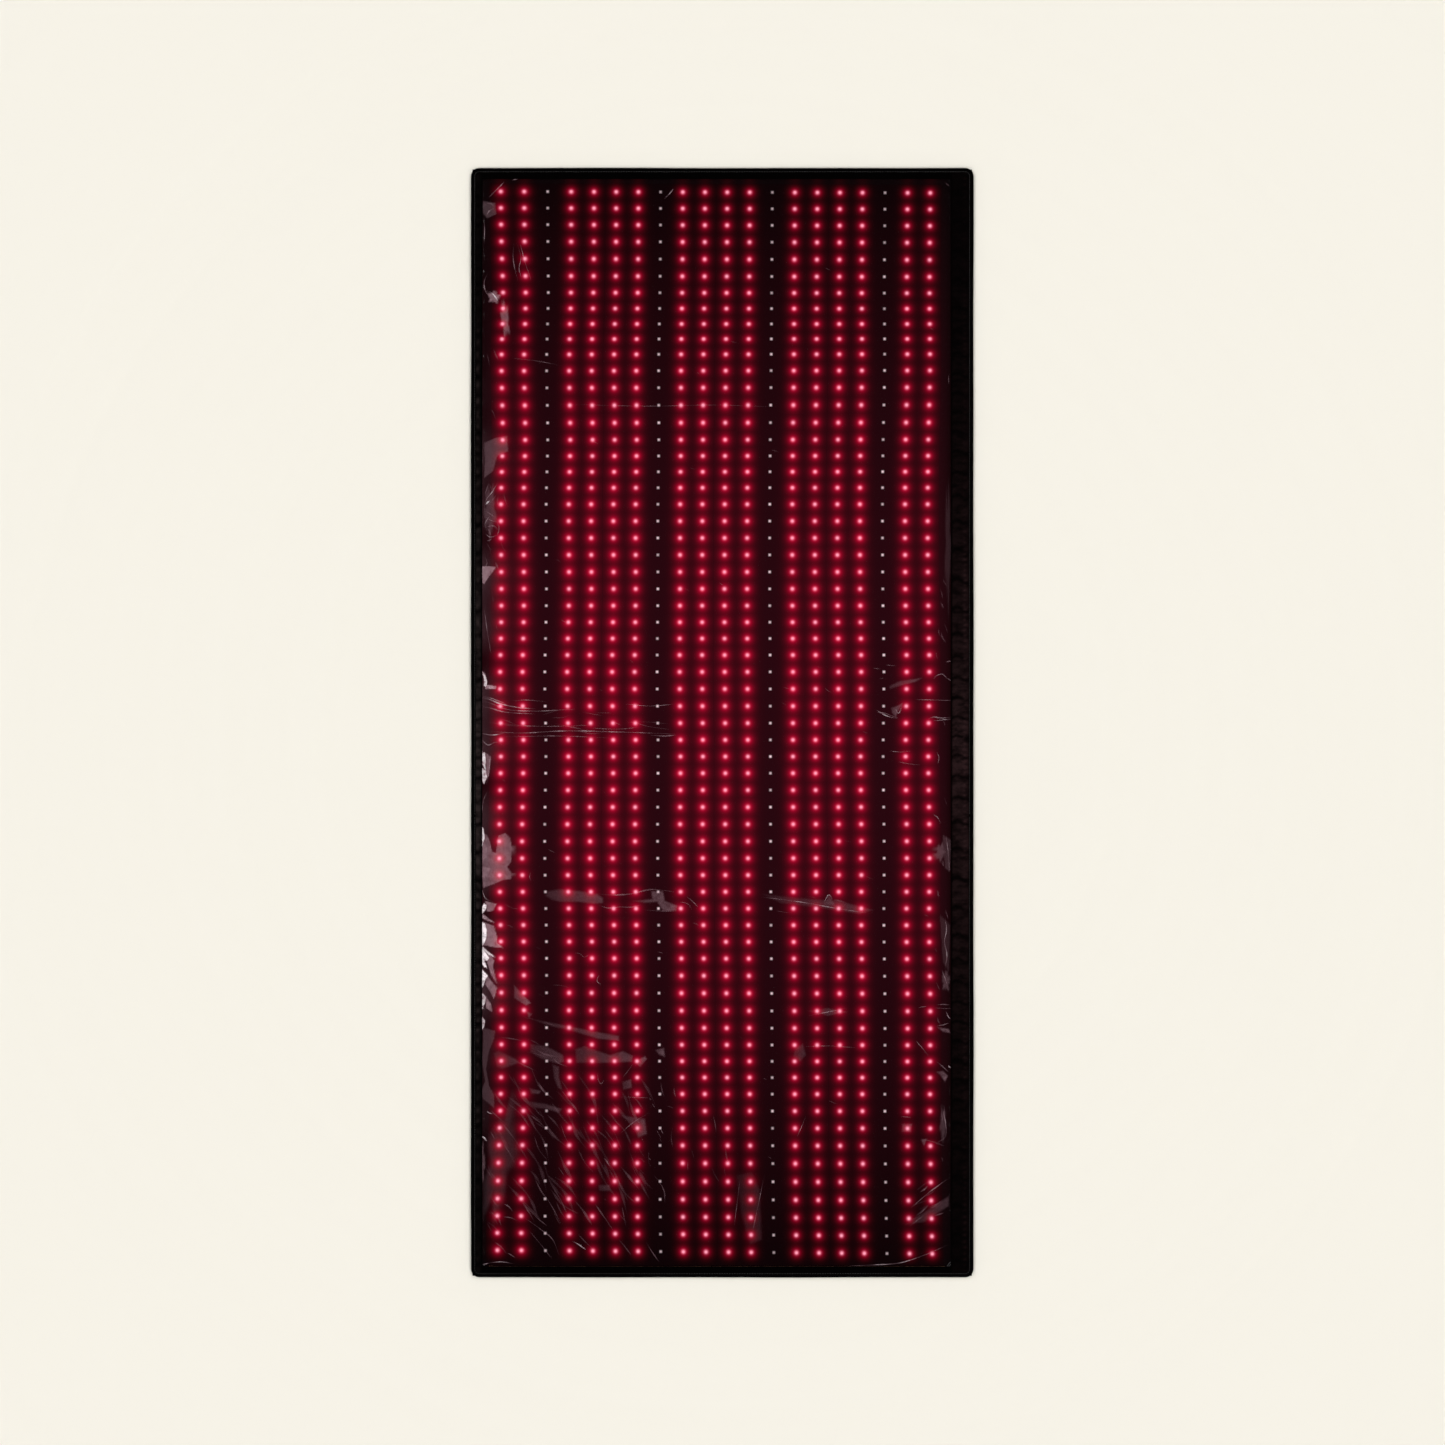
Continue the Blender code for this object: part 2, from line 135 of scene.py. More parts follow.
# How the boards lie: the shift of the diodes from their even grid, in mm, at given places in mm
DRIFT_ALONG = (
    (883, 0), (780, 0.5), (690, -1.6), (633, 1.8), (580, 6.4), (554, 6.7), (448, 2.4), (360, 5.3),
    (290, 4.4), (180, 2.2), (105, 2.9), (-14, 0), (-80, 0.7), (-240, -0.5), (-282.5, 0),
    (-380, 2.7), (-500, 1.8), (-600, 6.1), (-680, 6.2), (-770, 2), (-844, 0.9), (-883, 0),
)
DRIFT_TILT = (
    (883, -1.2), (740, -1), (600, 0.2), (300, 0), (-14, 0), (-282.5, 0), (-450, -1), (-600, -0.3),
    (-750, -1.5), (-844, -3), (-883, -2.5),
)
DRIFT_ACROSS = {
    -354: (
        (883, 1), (760, 2.4), (686, 5), (570, 2.5), (448, 4.4), (369, 2.1), (160, 2.1), (60, 0.2),
        (-27, 1.6), (-200, -1), (-351, 1.4), (-500, 2.5), (-610, 1), (-700, -2.2), (-770, -4), (-883, -4),
    ),
    -227: (
        (883, 6), (700, 5), (560, 1.9), (448, 3.6), (340, 1.2), (210, 1.6), (60, -1.5), (-27, 0.6),
        (-175, -0.9), (-378, 2.4), (-460, 1.6), (-600, 3.2), (-761, 2.4), (-883, 4.4),
    ),
    0: ((883, 1.2), (740, 0.5), (560, -1.4), (80, -3.1), (-54, -2), (-175, -2.3), (-400, -0.6), (-883, 3.5)),
    290: (
        (883, -0.2), (700, -1.8), (550, -1.2), (440, -3.8), (200, -4), (90, -2.1), (-54, -3.7),
        (-200, -1.8), (-320, -2.4), (-450, -0.6), (-600, -1), (-700, -0.2), (-883, 3.4),
    ),
}
TILT_SPAN = 350

# One diode package
PACKAGE = 2.5 * MM  # half its side
PACKAGE_HEIGHT = 1.45 * MM
CHAMFER = 0.22 * MM
WELL_RADIUS = 1.95 * MM
WELL_DEPTH = 0.30 * MM
SOLDERED_IN = 0.05 * MM
LENS_RINGS = ((1.82, -0.25), (1.40, 0.02), (0.75, 0.11))  # radius and height over the package, mm
LENS_RISE = 0.15 * MM
RING_SIDES = 12

# Light of the diodes, by distance in mm
HALO_STRENGTH = 1.48  # of the round halo about each red diode
HALO_FADE_END, HALO_FADE_MORE = 3.12, 0.96  # fade length at the mat's ends, and how much more amid it
HALO_FADE_LESS = 0.014  # for each column to the right
HALO_VARIES = 0.85, 1.12  # from one diode to another
FLOOD = 0.004  # even light, strongest amid the mat
BRIGHTEST = 1.1
SCATTER = (0.150, 0.014, 0.033)  # light of the diodes within the film
MARGIN_FADE, MARGIN_SHARE = 22 * MM, 0.45  # it weakens to this share at the window's long sides
HALO_BLUE = 0.050  # share of blue in the halo
CORE = (0.38, 2.6), (0.47, 2.58), (0.575, 2.70)  # strength and width of each diode's red, green and blue
INFRARED_LIGHT, INFRARED_WIDTH = (0.95, 0.70, 0.75), 1.75
INFRARED_VARIES = 0.65, 1.2


def through(stations, at):
    """A smooth curve through given stations of (place, value), read at the places in at."""
    places, values = np.array(sorted(stations), float).T
    slopes = np.gradient(values, places)
    i = np.clip(np.searchsorted(places, at) - 1, 0, len(places) - 2)
    gap = places[i + 1] - places[i]
    t = np.clip((at - places[i]) / gap, 0, 1)
    start = (1 + 2 * t) * (1 - t) ** 2 * values[i] + t * (1 - t) ** 2 * gap * slopes[i]
    end = t * t * (3 - 2 * t) * values[i + 1] + t * t * (t - 1) * gap * slopes[i + 1]
    return start + end


def drift(x, y):
    """Where a point of the even diode grid really lies."""
    across, along = np.asarray(x) / MM, np.asarray(y) / MM
    columns = list(DRIFT_ACROSS)
    between = np.interp(across, columns, range(len(columns)))
    shift = sum(
        through(DRIFT_ACROSS[column], along) * np.clip(1 - np.abs(between - k), 0, 1)
        for k, column in enumerate(columns)
    )
    slide = through(DRIFT_ALONG, along) + through(DRIFT_TILT, along) * across / TILT_SPAN
    return x + shift * MM, y + slide * MM


def ease(value, low, high):
    """0 below low and 1 above high, with a smooth step between."""
    t = np.clip((value - low) / (high - low), 0, 1)
    return t * t * (3 - 2 * t)


def ripple(along, pitch, seed):
    """Uneven gathers along a seam, from 0 to 1."""
    phase = along / pitch + 0.45 * np.sin(along / 0.067 + seed) + 0.25 * np.sin(along / 0.029 + 2 * seed)
    size = 0.62 + 0.38 * np.sin(along / 0.083 + 3 * seed) * np.sin(along / 0.19 + seed)
    return size * (0.5 + 0.5 * np.sin(TURN * phase))


def steps(low, high, step):
    return np.linspace(low, high, max(2, round(abs(high - low) / step) + 1))


def lines_along(half, step, low=FOOT, high=HEAD):
    """Places along the half's length, closer together at its fold, within low to high."""
    first, last = HALVES[half]["span"]
    first, last = max(first, low), min(last, high)
    fold = HALVES[half]["fold"]
    if not first < fold < last:
        return steps(first, last, step)
    bend = steps(fold - FOLD_REACH, fold + FOLD_REACH, FOLD_STEP)
    return np.concatenate([steps(first, bend[0], step)[:-1], bend, steps(bend[-1], last, step)[1:]])


def slack(x, y, waves, bends, sway):
    """Slow waves both ways, from -1 to 1. waves and bends are lengths across and along the mat."""
    across = np.sin(x / waves[0] + sway * np.sin(y / bends[1]))
    return across * np.sin(y / waves[1] + 1.1 * np.sin(x / bends[0]))


def along_route(places):
    """The distance along a route up to each of its places."""
    return np.concatenate([[0], np.cumsum(np.linalg.norm(np.diff(places, axis=0), axis=1))])


def tube(count, wide):
    """Faces and end caps of a tube from wide rows of count points, one row for each point of its section."""
    index = np.arange(count * wide).reshape(wide, count)
    after = np.roll(index, -1, axis=0)
    quads = np.stack([index[:, :-1], index[:, 1:], after[:, 1:], after[:, :-1]], axis=-1)
    return quads.reshape(-1, 4), np.stack([index[:, 0], index[::-1, -1]])


# Meshes


def new_piece(name, points, faces, finish, rest=None, uv=None, crease=40):
    """A piece from points and faces. rest is each point's place when the mat lies flat, for its patterns."""
    used, index = np.unique(np.concatenate([np.ravel(face) for face in faces]), return_inverse=True)
    renumbered, at = [], 0
    for face in faces:
        face = np.asarray(face)
        renumbered += index[at : at + face.size].reshape(face.shape).tolist()
        at += face.size
    mesh = bpy.data.meshes.new(name)
    mesh.from_pydata(np.asarray(points)[used].tolist(), [], renumbered)
    rest = points if rest is None else rest
    attribute = mesh.attributes.new("rest", "FLOAT_VECTOR", "POINT")
    attribute.data.foreach_set("vector", np.asarray(rest, np.float32)[used].ravel())
    if uv is not None:
        corners = np.zeros(len(mesh.loops), int)
        mesh.loops.foreach_get("vertex_index", corners)
        layer = mesh.uv_layers.new(name="grid")
        layer.data.foreach_set("uv", np.asarray(uv, np.float32)[used][corners].ravel())
    mesh.shade_smooth()
    mesh.set_sharp_from_angle(angle=math.radians(crease))
    mesh.materials.append(finish)
    piece = bpy.data.objects.new(name, mesh)
    bpy.context.scene.collection.objects.link(piece)
    return piece, used


def lattice(xs, ys, top, bottom=None, keep=None):
    """Points and faces over lines xs by ys, between two heights, or one surface without bottom."""
    x, y = np.meshgrid(xs, ys)
    count = x.size
    cells = np.arange(count).reshape(x.shape)
    cells = np.stack([cells[:-1, :-1], cells[:-1, 1:], cells[1:, 1:], cells[1:, :-1]], axis=-1)
    kept = np.ones(cells.shape[:2], bool)
    if keep:
        kept = keep((x[:-1, :-1] + x[1:, 1:]) / 2, (y[:-1, :-1] + y[1:, 1:]) / 2)
    flat = cells[kept]
    layers, faces = [top(x, y)], [flat]
    if bottom:
        layers.append(bottom(x, y))
        faces.append(flat[:, ::-1] + count)
        around = np.pad(kept, 1)
        next_to = (around[:-2, 1:-1], around[1:-1, 2:], around[2:, 1:-1], around[1:-1, :-2])
        for side, neighbour in enumerate(next_to):
            rim = cells[kept & ~neighbour]
            a, b = rim[:, side], rim[:, (side + 1) % 4]
            faces.append(np.stack([a, a + count, b + count, b], axis=1))
    points = [np.stack([x, y, z + 0 * x], axis=-1).reshape(-1, 3) for z in layers]
    return np.concatenate(points), np.concatenate(faces)


def new_lattice(name, xs, ys, finish, top, bottom=None, keep=None, place=None, uv=None, crease=40):
    """A piece from a lattice. place moves it from where its lines are, and uv maps it by those."""
    rest, faces = lattice(xs, ys, top, bottom, keep)
    points = rest.copy()
    if place:
        points[:, 0], points[:, 1] = place(rest[:, 0], rest[:, 1])
    if uv:
        uv = np.stack(uv(rest[:, 0], rest[:, 1]), axis=-1)
    return new_piece(name, points, [faces], finish, rest, uv, crease)


def give(piece, used, name, values):
    """A number for each point of a piece, for its material."""
    attribute = piece.data.attributes.new(name, "FLOAT", "POINT")
    attribute.data.foreach_set("value", np.asarray(values, np.float32)[used])


def bend(piece, half, *nodes, slot):
    """The piece's place is baked into its mesh, and these CAD nodes, which it stands for, are hidden."""
    side = HALVES[half]
    start = (0, side["fold"] - side["way"] * FOLD_REACH, 0)
    end = (0, side["fold"] + side["way"] * FOLD_REACH, 0)
    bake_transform(piece)
    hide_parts(*nodes)


def both_panels(name, half):
    """The names of a CAD layer's nodes that a half stands for."""
    return [name.format(panel) for panel in (("head", "middle") if half == "upper" else ("middle", "foot"))]


# Node trees


class Signal:
    """An output in a material's node tree. Arithmetic on it adds Math nodes."""

    def __init__(self, tree, socket):
        self.tree, self.socket = tree, socket

    def math(self, operation, *others):
        node = self.tree.nodes.new("ShaderNodeMath")
        node.operation = operation
        for value, entry in zip((self, *others), node.inputs):
            connect(value, entry)
        return Signal(self.tree, node.outputs[0])

    def __add__(self, other):
        return self.math("ADD", other)

    def __sub__(self, other):
        return self.math("SUBTRACT", other)

    def __rsub__(self, other):
        return self.math("MULTIPLY", -1.0) + other

    def __mul__(self, other):
        return self.math("MULTIPLY", other)

    def __truediv__(self, other):
        return self.math("DIVIDE", other)

    __radd__ = __add__
    __rmul__ = __mul__


def connect(value, entry):
    if isinstance(value, Signal):
        value.tree.links.new(value.socket, entry)
    else:
        entry.default_value = value


def feed(node, **entries):
    """Sets or connects a node's inputs by their names."""
    for key, value in entries.items():
        connect(value, node.inputs[key.replace("_", " ")])


def node_of(tree, kind, output=0, settings=(), **entries):
    """A node with its inputs set or connected by name, as one of its outputs."""
    node = tree.nodes.new("ShaderNode" + kind)
    for key, value in dict(settings).items():
        setattr(node, key, value)
    feed(node, **entries)
    return Signal(tree, node.outputs[output])


def parts_of(vector):
    split = vector.tree.nodes.new("ShaderNodeSeparateXYZ")
    connect(vector, split.inputs[0])
    return [Signal(vector.tree, output) for output in split.outputs]


def vector_of(x, y):
    return node_of(x.tree, "CombineXYZ", X=x, Y=y)


def colour_of(red, green, blue):
    return node_of(red.tree, "CombineColor", Red=red, Green=green, Blue=blue)


def mixed(factor, first, second):
    """A colour between two."""
    node = factor.tree.nodes.new("ShaderNodeMix")
    node.data_type = "RGBA"
    connect(factor, node.inputs[0])
    connect(first if isinstance(first, Signal) else (*first, 1), node.inputs[6])
    connect(second if isinstance(second, Signal) else (*second, 1), node.inputs[7])
    return Signal(factor.tree, node.outputs[2])


def noise(vector, scale, detail=3.0, roughness=0.5):
    return node_of(vector.tree, "TexNoise", Vector=vector, Scale=scale, Detail=detail, Roughness=roughness)


def ramp(value, low, high, to_low=0.0, to_high=1.0):
    node = value.tree.nodes.new("ShaderNodeMapRange")
    for k, entry in enumerate((value, low, high, to_low, to_high)):
        connect(entry, node.inputs[k])
    return Signal(value.tree, node.outputs[0])


def new_finish(name, **sockets):
    """A material, its node tree and its Principled shader."""
    material = bpy.data.materials.new(name)
    material.use_nodes = True
    shader = material.node_tree.nodes["Principled BSDF"]
    feed(shader, **sockets)
    return material, material.node_tree, shader


def rest_place(tree):
    """Each point's place when the mat lies flat."""
    return node_of(tree, "Attribute", output=1, settings={"attribute_name": "rest"})


def given(tree, name):
    """The number that each point of a piece was given."""
    return node_of(tree, "Attribute", output=2, settings={"attribute_name": name})


def mapped(tree):
    """Across and along by the UV map: columns and rows, or a tape's length and its way round."""
    return parts_of(node_of(tree, "UVMap", settings={"uv_map": "grid"}))[:2]


def object_place(tree):
    return node_of(tree, "TexCoord", output=3)


def bumped(shader, height, distance, strength=1.0):
    bump = node_of(height.tree, "Bump", Height=height, Distance=distance, Strength=strength)
    feed(shader, Normal=bump)


BACK_THREADS, BORDER_THREADS = 1.3 * MM, 0.9 * MM  # the pitch of their weave


def weave(x, y, pitch):
    """Threads that go over and under each other."""
    return (x * (TURN / pitch)).math("SINE") * (y * (TURN / pitch)).math("SINE")


# Materials


def back_finish():
    material, tree, shader = new_finish(
        "back_fabric", Roughness=0.8, Sheen_Weight=0.06, Specular_IOR_Level=0.15
    )
    place = rest_place(tree)
    x, y, _ = parts_of(place)
    worn = noise(place, 9.0, 5.0) * 0.6 + noise(place, 420.0, 2.0) * 0.4
    threads = weave(x, y, BACK_THREADS) * 0.5 + noise(place, 900.0, 2.0)
    shade = mixed(ramp(worn, 0.3, 0.7), (0.010, 0.009, 0.011), (0.024, 0.022, 0.026))
    feed(shader, Base_Color=shade, Roughness=ramp(threads, 0.0, 1.4, 0.72, 0.9))
    bumped(shader, threads + noise(place, 11.0, 3.0) * 3.0, 0.16 * MM)
    return material


def border_finish():
    """Black cloth, lightened by painted light and highlights where its attribute says so, the painted light
    redder beside the right-hand diodes.
    """
    material, tree, shader = new_finish("border_fabric", Roughness=0.72, Specular_IOR_Level=0.003)
    place = rest_place(tree)
    x, y, _ = parts_of(place)
    blotches = noise(vector_of(x * 0.5, y), 95.0, 4.0, 0.6)
    # painted light on the cloth, in blotches, in a paler colour that is redder on the right beside the
    # diodes
    grey = (given(tree, "grey") * ramp(blotches, 0.36, 0.60, 0.30, 1.30)).math("MINIMUM", 1.6)
    pale = mixed(ramp(x, -0.1, 0.1), (0.0240, 0.0165, 0.0165), (0.0240, 0.0112, 0.0120))
    threads = weave(x, y, BORDER_THREADS) * 0.5 + noise(place, 900.0, 2.0)
    shade = mixed(grey, (0.0007, 0.0005, 0.0005), pale)
    feed(shader, Base_Color=shade, Roughness=ramp(threads, 0.0, 1.4, 0.64, 0.82))
    bumped(shader, threads, 0.10 * MM)
    return material


def tape_finish():
    material, tree, shader = new_finish("edge_tape", Roughness=0.55, Specular_IOR_Level=0.003)
    along, around = mapped(tree)
    ribs = (along * (TURN / (0.9 * MM))).math("SINE")
    place = vector_of(along, around)
    worn = noise(place, 30.0, 4.0)
    shade = mixed(ramp(worn, 0.35, 0.7), (0.0005, 0.0004, 0.0004), (0.0014, 0.0011, 0.0011))
    feed(shader, Base_Color=shade, Roughness=ramp(worn, 0.3, 0.7, 0.48, 0.62))
    bumped(shader, ribs * 0.3 + noise(place, 700.0, 2.0), 0.06 * MM)
    return material


def lit(column, count):
    """1 within the grid and 0 outside it."""
    return column.math("GREATER_THAN", -0.5) * column.math("LESS_THAN", count - 0.5)


def is_red(column):
    place = column.math("FLOORED_MODULO", float(BOARD_COLUMNS)) - INFRARED_COLUMN
    return place.math("ABSOLUTE").math("GREATER_THAN", 0.5) * lit(column, COLUMNS)


def diode_cell(tree):
    """Column and row, how far off their middles, how near mid length from 0 to 1, and a number by cell."""
    u, v = mapped(tree)
    column, row = u.math("FLOOR"), v.math("FLOOR")
    amid = 1.0 - ((v - ROWS / 2) / (ROWS / 2)).math("POWER", 2.0)
    return column, row, u - column - 0.5, v - row - 0.5, amid, noise(vector_of(column, row), 0.9, 1.0)


def glow(tree, share):
    """A share of the light round the red diodes, by a UV map that counts columns and rows."""
    column, row, beside, beyond, amid, uneven = diode_cell(tree)
    fade = (amid * HALO_FADE_MORE + HALO_FADE_END) - (column + beside + (0.5 - COLUMNS / 2)) * HALO_FADE_LESS
    reds = {0: is_red(column), 1: is_red(column + beside.math("SIGN"))}
    rows = {0: lit(row, ROWS), 1: lit(row + beyond.math("SIGN"), ROWS)}
    halo, near = None, None
    for step_x, red in reds.items():
        for step_y, inside in rows.items():
            x = (beside.math("ABSOLUTE") - step_x).math("ABSOLUTE") * (COLUMN_PITCH / MM)
            y = (beyond.math("ABSOLUTE") - step_y).math("ABSOLUTE") * (DIODE_PITCH / MM)
            distance = (x * x + y * y).math("SQRT")
            near = near or distance
            term = ((distance / fade) * -1.0).math("EXPONENT") * red * inside
            halo = term if halo is None else halo + term
    halo = halo * (share * HALO_STRENGTH) * ramp(uneven, 0.3, 0.7, *HALO_VARIES)
    flood = amid.math("MAXIMUM", 0.0) * FLOOD
    around, own = halo + flood, reds[0] * rows[0]
    red, green, blue = (
        ((near / width).math("POWER", 2.0) * -1.0).math("EXPONENT") * strength * own
        for strength, width in CORE
    )
    return colour_of((around + red).math("MINIMUM", BRIGHTEST), green, blue + around * HALO_BLUE)


def glowing_finish(name, base, roughness, share=1.0):
    material, tree, shader = new_finish(
        name, Roughness=roughness, Emission_Strength=1.0, Specular_IOR_Level=0.005
    )
    place = rest_place(tree)
    worn = noise(place, 160.0, 3.0)
    shade = mixed(ramp(worn, 0.3, 0.7), tuple(0.8 * c for c in base), tuple(1.2 * c for c in base))
    feed(shader, Base_Color=shade, Emission_Color=glow(tree, share),
         Roughness=ramp(worn, 0.3, 0.7, roughness - 0.06, roughness + 0.06))
    bumped(shader, noise(place, 900.0, 2.0), 0.03 * MM)
    return material


def infrared_finish():
    """Nearly dark diodes, each with a small white highlight painted as a glow on its die, brighter on some
    than on others.
    """
    material, tree, shader = new_finish(
        "infrared_diode", Roughness=0.4, Emission_Strength=1.0, Specular_IOR_Level=0.10
    )
    _, _, beside, beyond, amid, uneven = diode_cell(tree)
    x, y = beside * (COLUMN_PITCH / MM), beyond * (DIODE_PITCH / MM)
    away = ((x * x + y * y) / INFRARED_WIDTH**2) * -1.0
    light = (away.math("EXPONENT") + 0.06) * ramp(uneven, 0.3, 0.7, *INFRARED_VARIES) * (amid * 0.40 + 0.60)
    worn = ramp(noise(rest_place(tree), 400.0), 0.3, 0.7)
    feed(shader, Base_Color=mixed(worn, (0.020, 0.017, 0.018), (0.036, 0.031, 0.032)),
         Emission_Color=colour_of(*(light * level for level in INFRARED_LIGHT)))
    return material


# Colours of the film's milk: the whitening of creased vinyl, and painted highlights and reflections
FAINT_MILK_AND_GLINT, FULL_MILK_AND_GLINT = (0.86, 0.41, 0.52), (0.99, 0.93, 0.96)


def crumpled(place, share):
    """How milky the film is, partly the real whitening of creased vinyl and partly painted highlight,
    mottled as it gets thicker, and its bumps.
    """
    milk = given(place.tree, "milk")
    crumple = noise(place, 150.0, 5.0, 0.65)
    mottle = (ramp(crumple, 0.36, 0.64, 0.35, 1.30) - 1.0) * (milk * share).math("MINIMUM", 1.0) + 1.0
    return (milk * mottle).math("MINIMUM", 1.0), noise(place, 70.0, 4.0, 0.55) + crumple * milk * 2.0


def film_finish():
    """Clear vinyl, milky where it is creased, with painted highlights and reflections on its creases and
    flaps, and with some of the diodes' light scattered in it.
    """
    material, tree, shader = new_finish("film", Roughness=0.10, IOR=1.45, Emission_Strength=1.0)
    place = rest_place(tree)
    milk, bumps = crumpled(place, 3.5)
    thin = mixed((milk * 7.0).math("MINIMUM", 1.0), (0.006, 0.001, 0.002), FAINT_MILK_AND_GLINT)
    x, y, _ = parts_of(place)
    margin = ramp(x, WINDOW_RIGHT - MARGIN_FADE, WINDOW_RIGHT, 1.0, MARGIN_SHARE)
    margin = margin * ramp(x, WINDOW_LEFT, WINDOW_LEFT + MARGIN_FADE, MARGIN_SHARE, 1.0)
    # painted shade: the scattered light is dimmer in the last 8 mm by the right border
    margin = margin * ramp(x, WINDOW_RIGHT - 8 * MM, WINDOW_RIGHT, 1.0, 0.35)
    scatter = ((1.0 - (y / HEAD).math("POWER", 2.0)) * 0.96 + 0.04) * margin
    feed(shader, Base_Color=mixed((milk * 2.0).math("MINIMUM", 1.0), thin, FULL_MILK_AND_GLINT),
         Roughness=ramp(milk, 0.0, 1.0, 0.10, 0.30), Alpha=milk * 0.82 + 0.10,
         Emission_Color=colour_of(*(scatter * level for level in SCATTER)))
    bumped(shader, bumps, 0.6 * MM)
    return material


def pinch_finish():
    """A crease or a sheen of the film: only its milk is seen, partly real whitening and partly painted
    highlight. Light passes both of its faces.
    """
    material, tree, shader = new_finish("pinched_film", Roughness=0.22, IOR=1.45)
    milk, bumps = crumpled(rest_place(tree), 7.0)
    feed(shader, Base_Color=mixed((milk * 2.0).math("MINIMUM", 1.0), FAINT_MILK_AND_GLINT, FULL_MILK_AND_GLINT),
         Roughness=ramp(milk, 0.0, 1.0, 0.26, 0.16), Alpha=milk * 0.55)
    bumped(shader, bumps, 0.4 * MM)
    return material


def thread_finish():
    material, tree, shader = new_finish("thread", Roughness=0.6, Sheen_Weight=0.2)
    x, y, _ = parts_of(rest_place(tree))
    twist = ((x + y) * (TURN / (0.5 * MM))).math("SINE")
    feed(shader, Base_Color=mixed(ramp(twist, -1.0, 1.0), (0.006, 0.005, 0.006), (0.022, 0.018, 0.021)))
    bumped(shader, twist, 0.05 * MM)
    return material


def plastic_finish(name, dark, light, grain, roughness, depth):
    """grain is the noise's scale and detail, and roughness the least and the most."""
    material, tree, shader = new_finish(name)
    worn = noise(object_place(tree), *grain)
    feed(shader, Base_Color=mixed(ramp(worn, 0.3, 0.7), dark, light),
         Roughness=ramp(worn, 0.3, 0.7, *roughness))
    bumped(shader, worn, depth)
    return material


def metal_finish(name, dull, bright, scale):
    material, tree, shader = new_finish(name, Metallic=1.0, Roughness=0.3)
    stain = noise(object_place(tree), scale, 4.0)
    feed(shader, Base_Color=mixed(ramp(stain, 0.35, 0.7), bright, dull),
         Roughness=ramp(stain, 0.3, 0.7, 0.24, 0.45))
    bumped(shader, noise(object_place(tree), 2500.0, 2.0), 0.01 * MM)
    return material


finishes = {
    "back_fabric": back_finish(),
    "border_fabric": border_finish(),
    "edge_tape": tape_finish(),
    "foam": glowing_finish("foam", (0.0020, 0.0014, 0.0016), 0.9, share=0.5),
    "board": glowing_finish("board", (0.0018, 0.0004, 0.0006), 0.5),
    "red_diode": glowing_finish("red_diode", (0.050, 0.012, 0.016), 0.35),
    "infrared_diode": infrared_finish(),
    "film": film_finish(),
    "pinched_film": pinch_finish(),
    "thread": thread_finish(),
    "inlet_plastic": plastic_finish(
        "inlet_plastic", (0.012, 0.012, 0.013), (0.022, 0.022, 0.024), (1500.0, 2.0), (0.36, 0.5), 0.04 * MM
    ),
    "copper": metal_finish("copper", (0.42, 0.20, 0.11), (0.72, 0.42, 0.26), 260.0),
    "contact": metal_finish("contact", (0.55, 0.42, 0.20), (0.80, 0.64, 0.32), 900.0),
    "lead_sleeve": plastic_finish(
        "lead_sleeve", (0.016, 0.016, 0.018), (0.030, 0.030, 0.033), (1200.0, 3.0), (0.5, 0.5), 0.03 * MM
    ),
}


# The layers, from the floor up


BACK_WAVE = 0.32 * MM  # depth of the back cover's slack
BACK_WAVES, BACK_BENDS = (41 * MM, 53 * MM), (170 * MM, 110 * MM)
COVER_STEP = 8 * MM


def add_back_cover(half):
    low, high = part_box("back_cover_head"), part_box("back_cover_foot")
    left, right = low[0].x, low[1].x
    xs = steps(left, right, COVER_STEP)
    ys = lines_along(half, COVER_STEP, high[0].y, low[1].y)

    def bottom(x, y):
        flat = ease(np.minimum(x - left, right - x), 0, 30 * MM)
        return BACK_LOW + BACK_WAVE * flat * (0.5 + 0.5 * slack(x, y, BACK_WAVES, BACK_BENDS, 1.3))

    piece, _ = new_lattice(
        f"back_cover_{half}", xs, ys, finishes["back_fabric"], lambda x, y: BACK_TOP + 0 * x, bottom
    )
    bend(piece, half, *both_panels("back_cover_{}", half), slot="back_fabric")


FOAM_ROUND = 0.5 * MM
POCKET_GAP, LEAD_ROOM = 0.3 * MM, 8.3 * MM  # beside the inlet, and past it for its leads
FOAM_STEP, FOAM_STEP_ALONG = 16 * MM, 12 * MM


def add_foam(half):
    head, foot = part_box("foam_pad_head"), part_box("foam_pad_foot")
    left, right = head[0].x, head[1].x
    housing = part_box("inlet_housing")
    pocket = (housing[0].x - POCKET_GAP, housing[1].x + POCKET_GAP, housing[1].y + LEAD_ROOM)
    xs = np.unique(np.concatenate([
        [left, left + MM, left + 3 * MM, right - MM],
        steps(left + 10 * MM, pocket[0] - 6 * MM, FOAM_STEP), pocket[:2], [(pocket[0] + pocket[1]) / 2],
        [right - 8 * MM, right],
    ]))
    ys = lines_along(half, FOAM_STEP_ALONG, foot[0].y, head[1].y)
    if half == "lower":
        ends = [foot[0].y, foot[0].y + 2 * MM, pocket[2]]
        ys = np.unique(np.concatenate([ys[ys > pocket[2] + 2 * MM], ends]))

    def keep(x, y):
        return ~((x > pocket[0]) & (x < pocket[1]) & (y < pocket[2]))

    def crown(x, y):
        edge = np.minimum(np.minimum(x - left, right - x), np.minimum(y - foot[0].y, head[1].y - y))
        return FOAM_ROUND * (1 - ease(edge, 0, 4 * MM))

    piece, _ = new_lattice(
        f"foam_pad_{half}", xs, ys, finishes["foam"],
        lambda x, y: FOAM_TOP - crown(x, y), lambda x, y: FOAM_LOW + crown(x, y), keep, uv=lit_by,
    )
    bend(piece, half, *both_panels("foam_pad_{}", half), slot="foam")


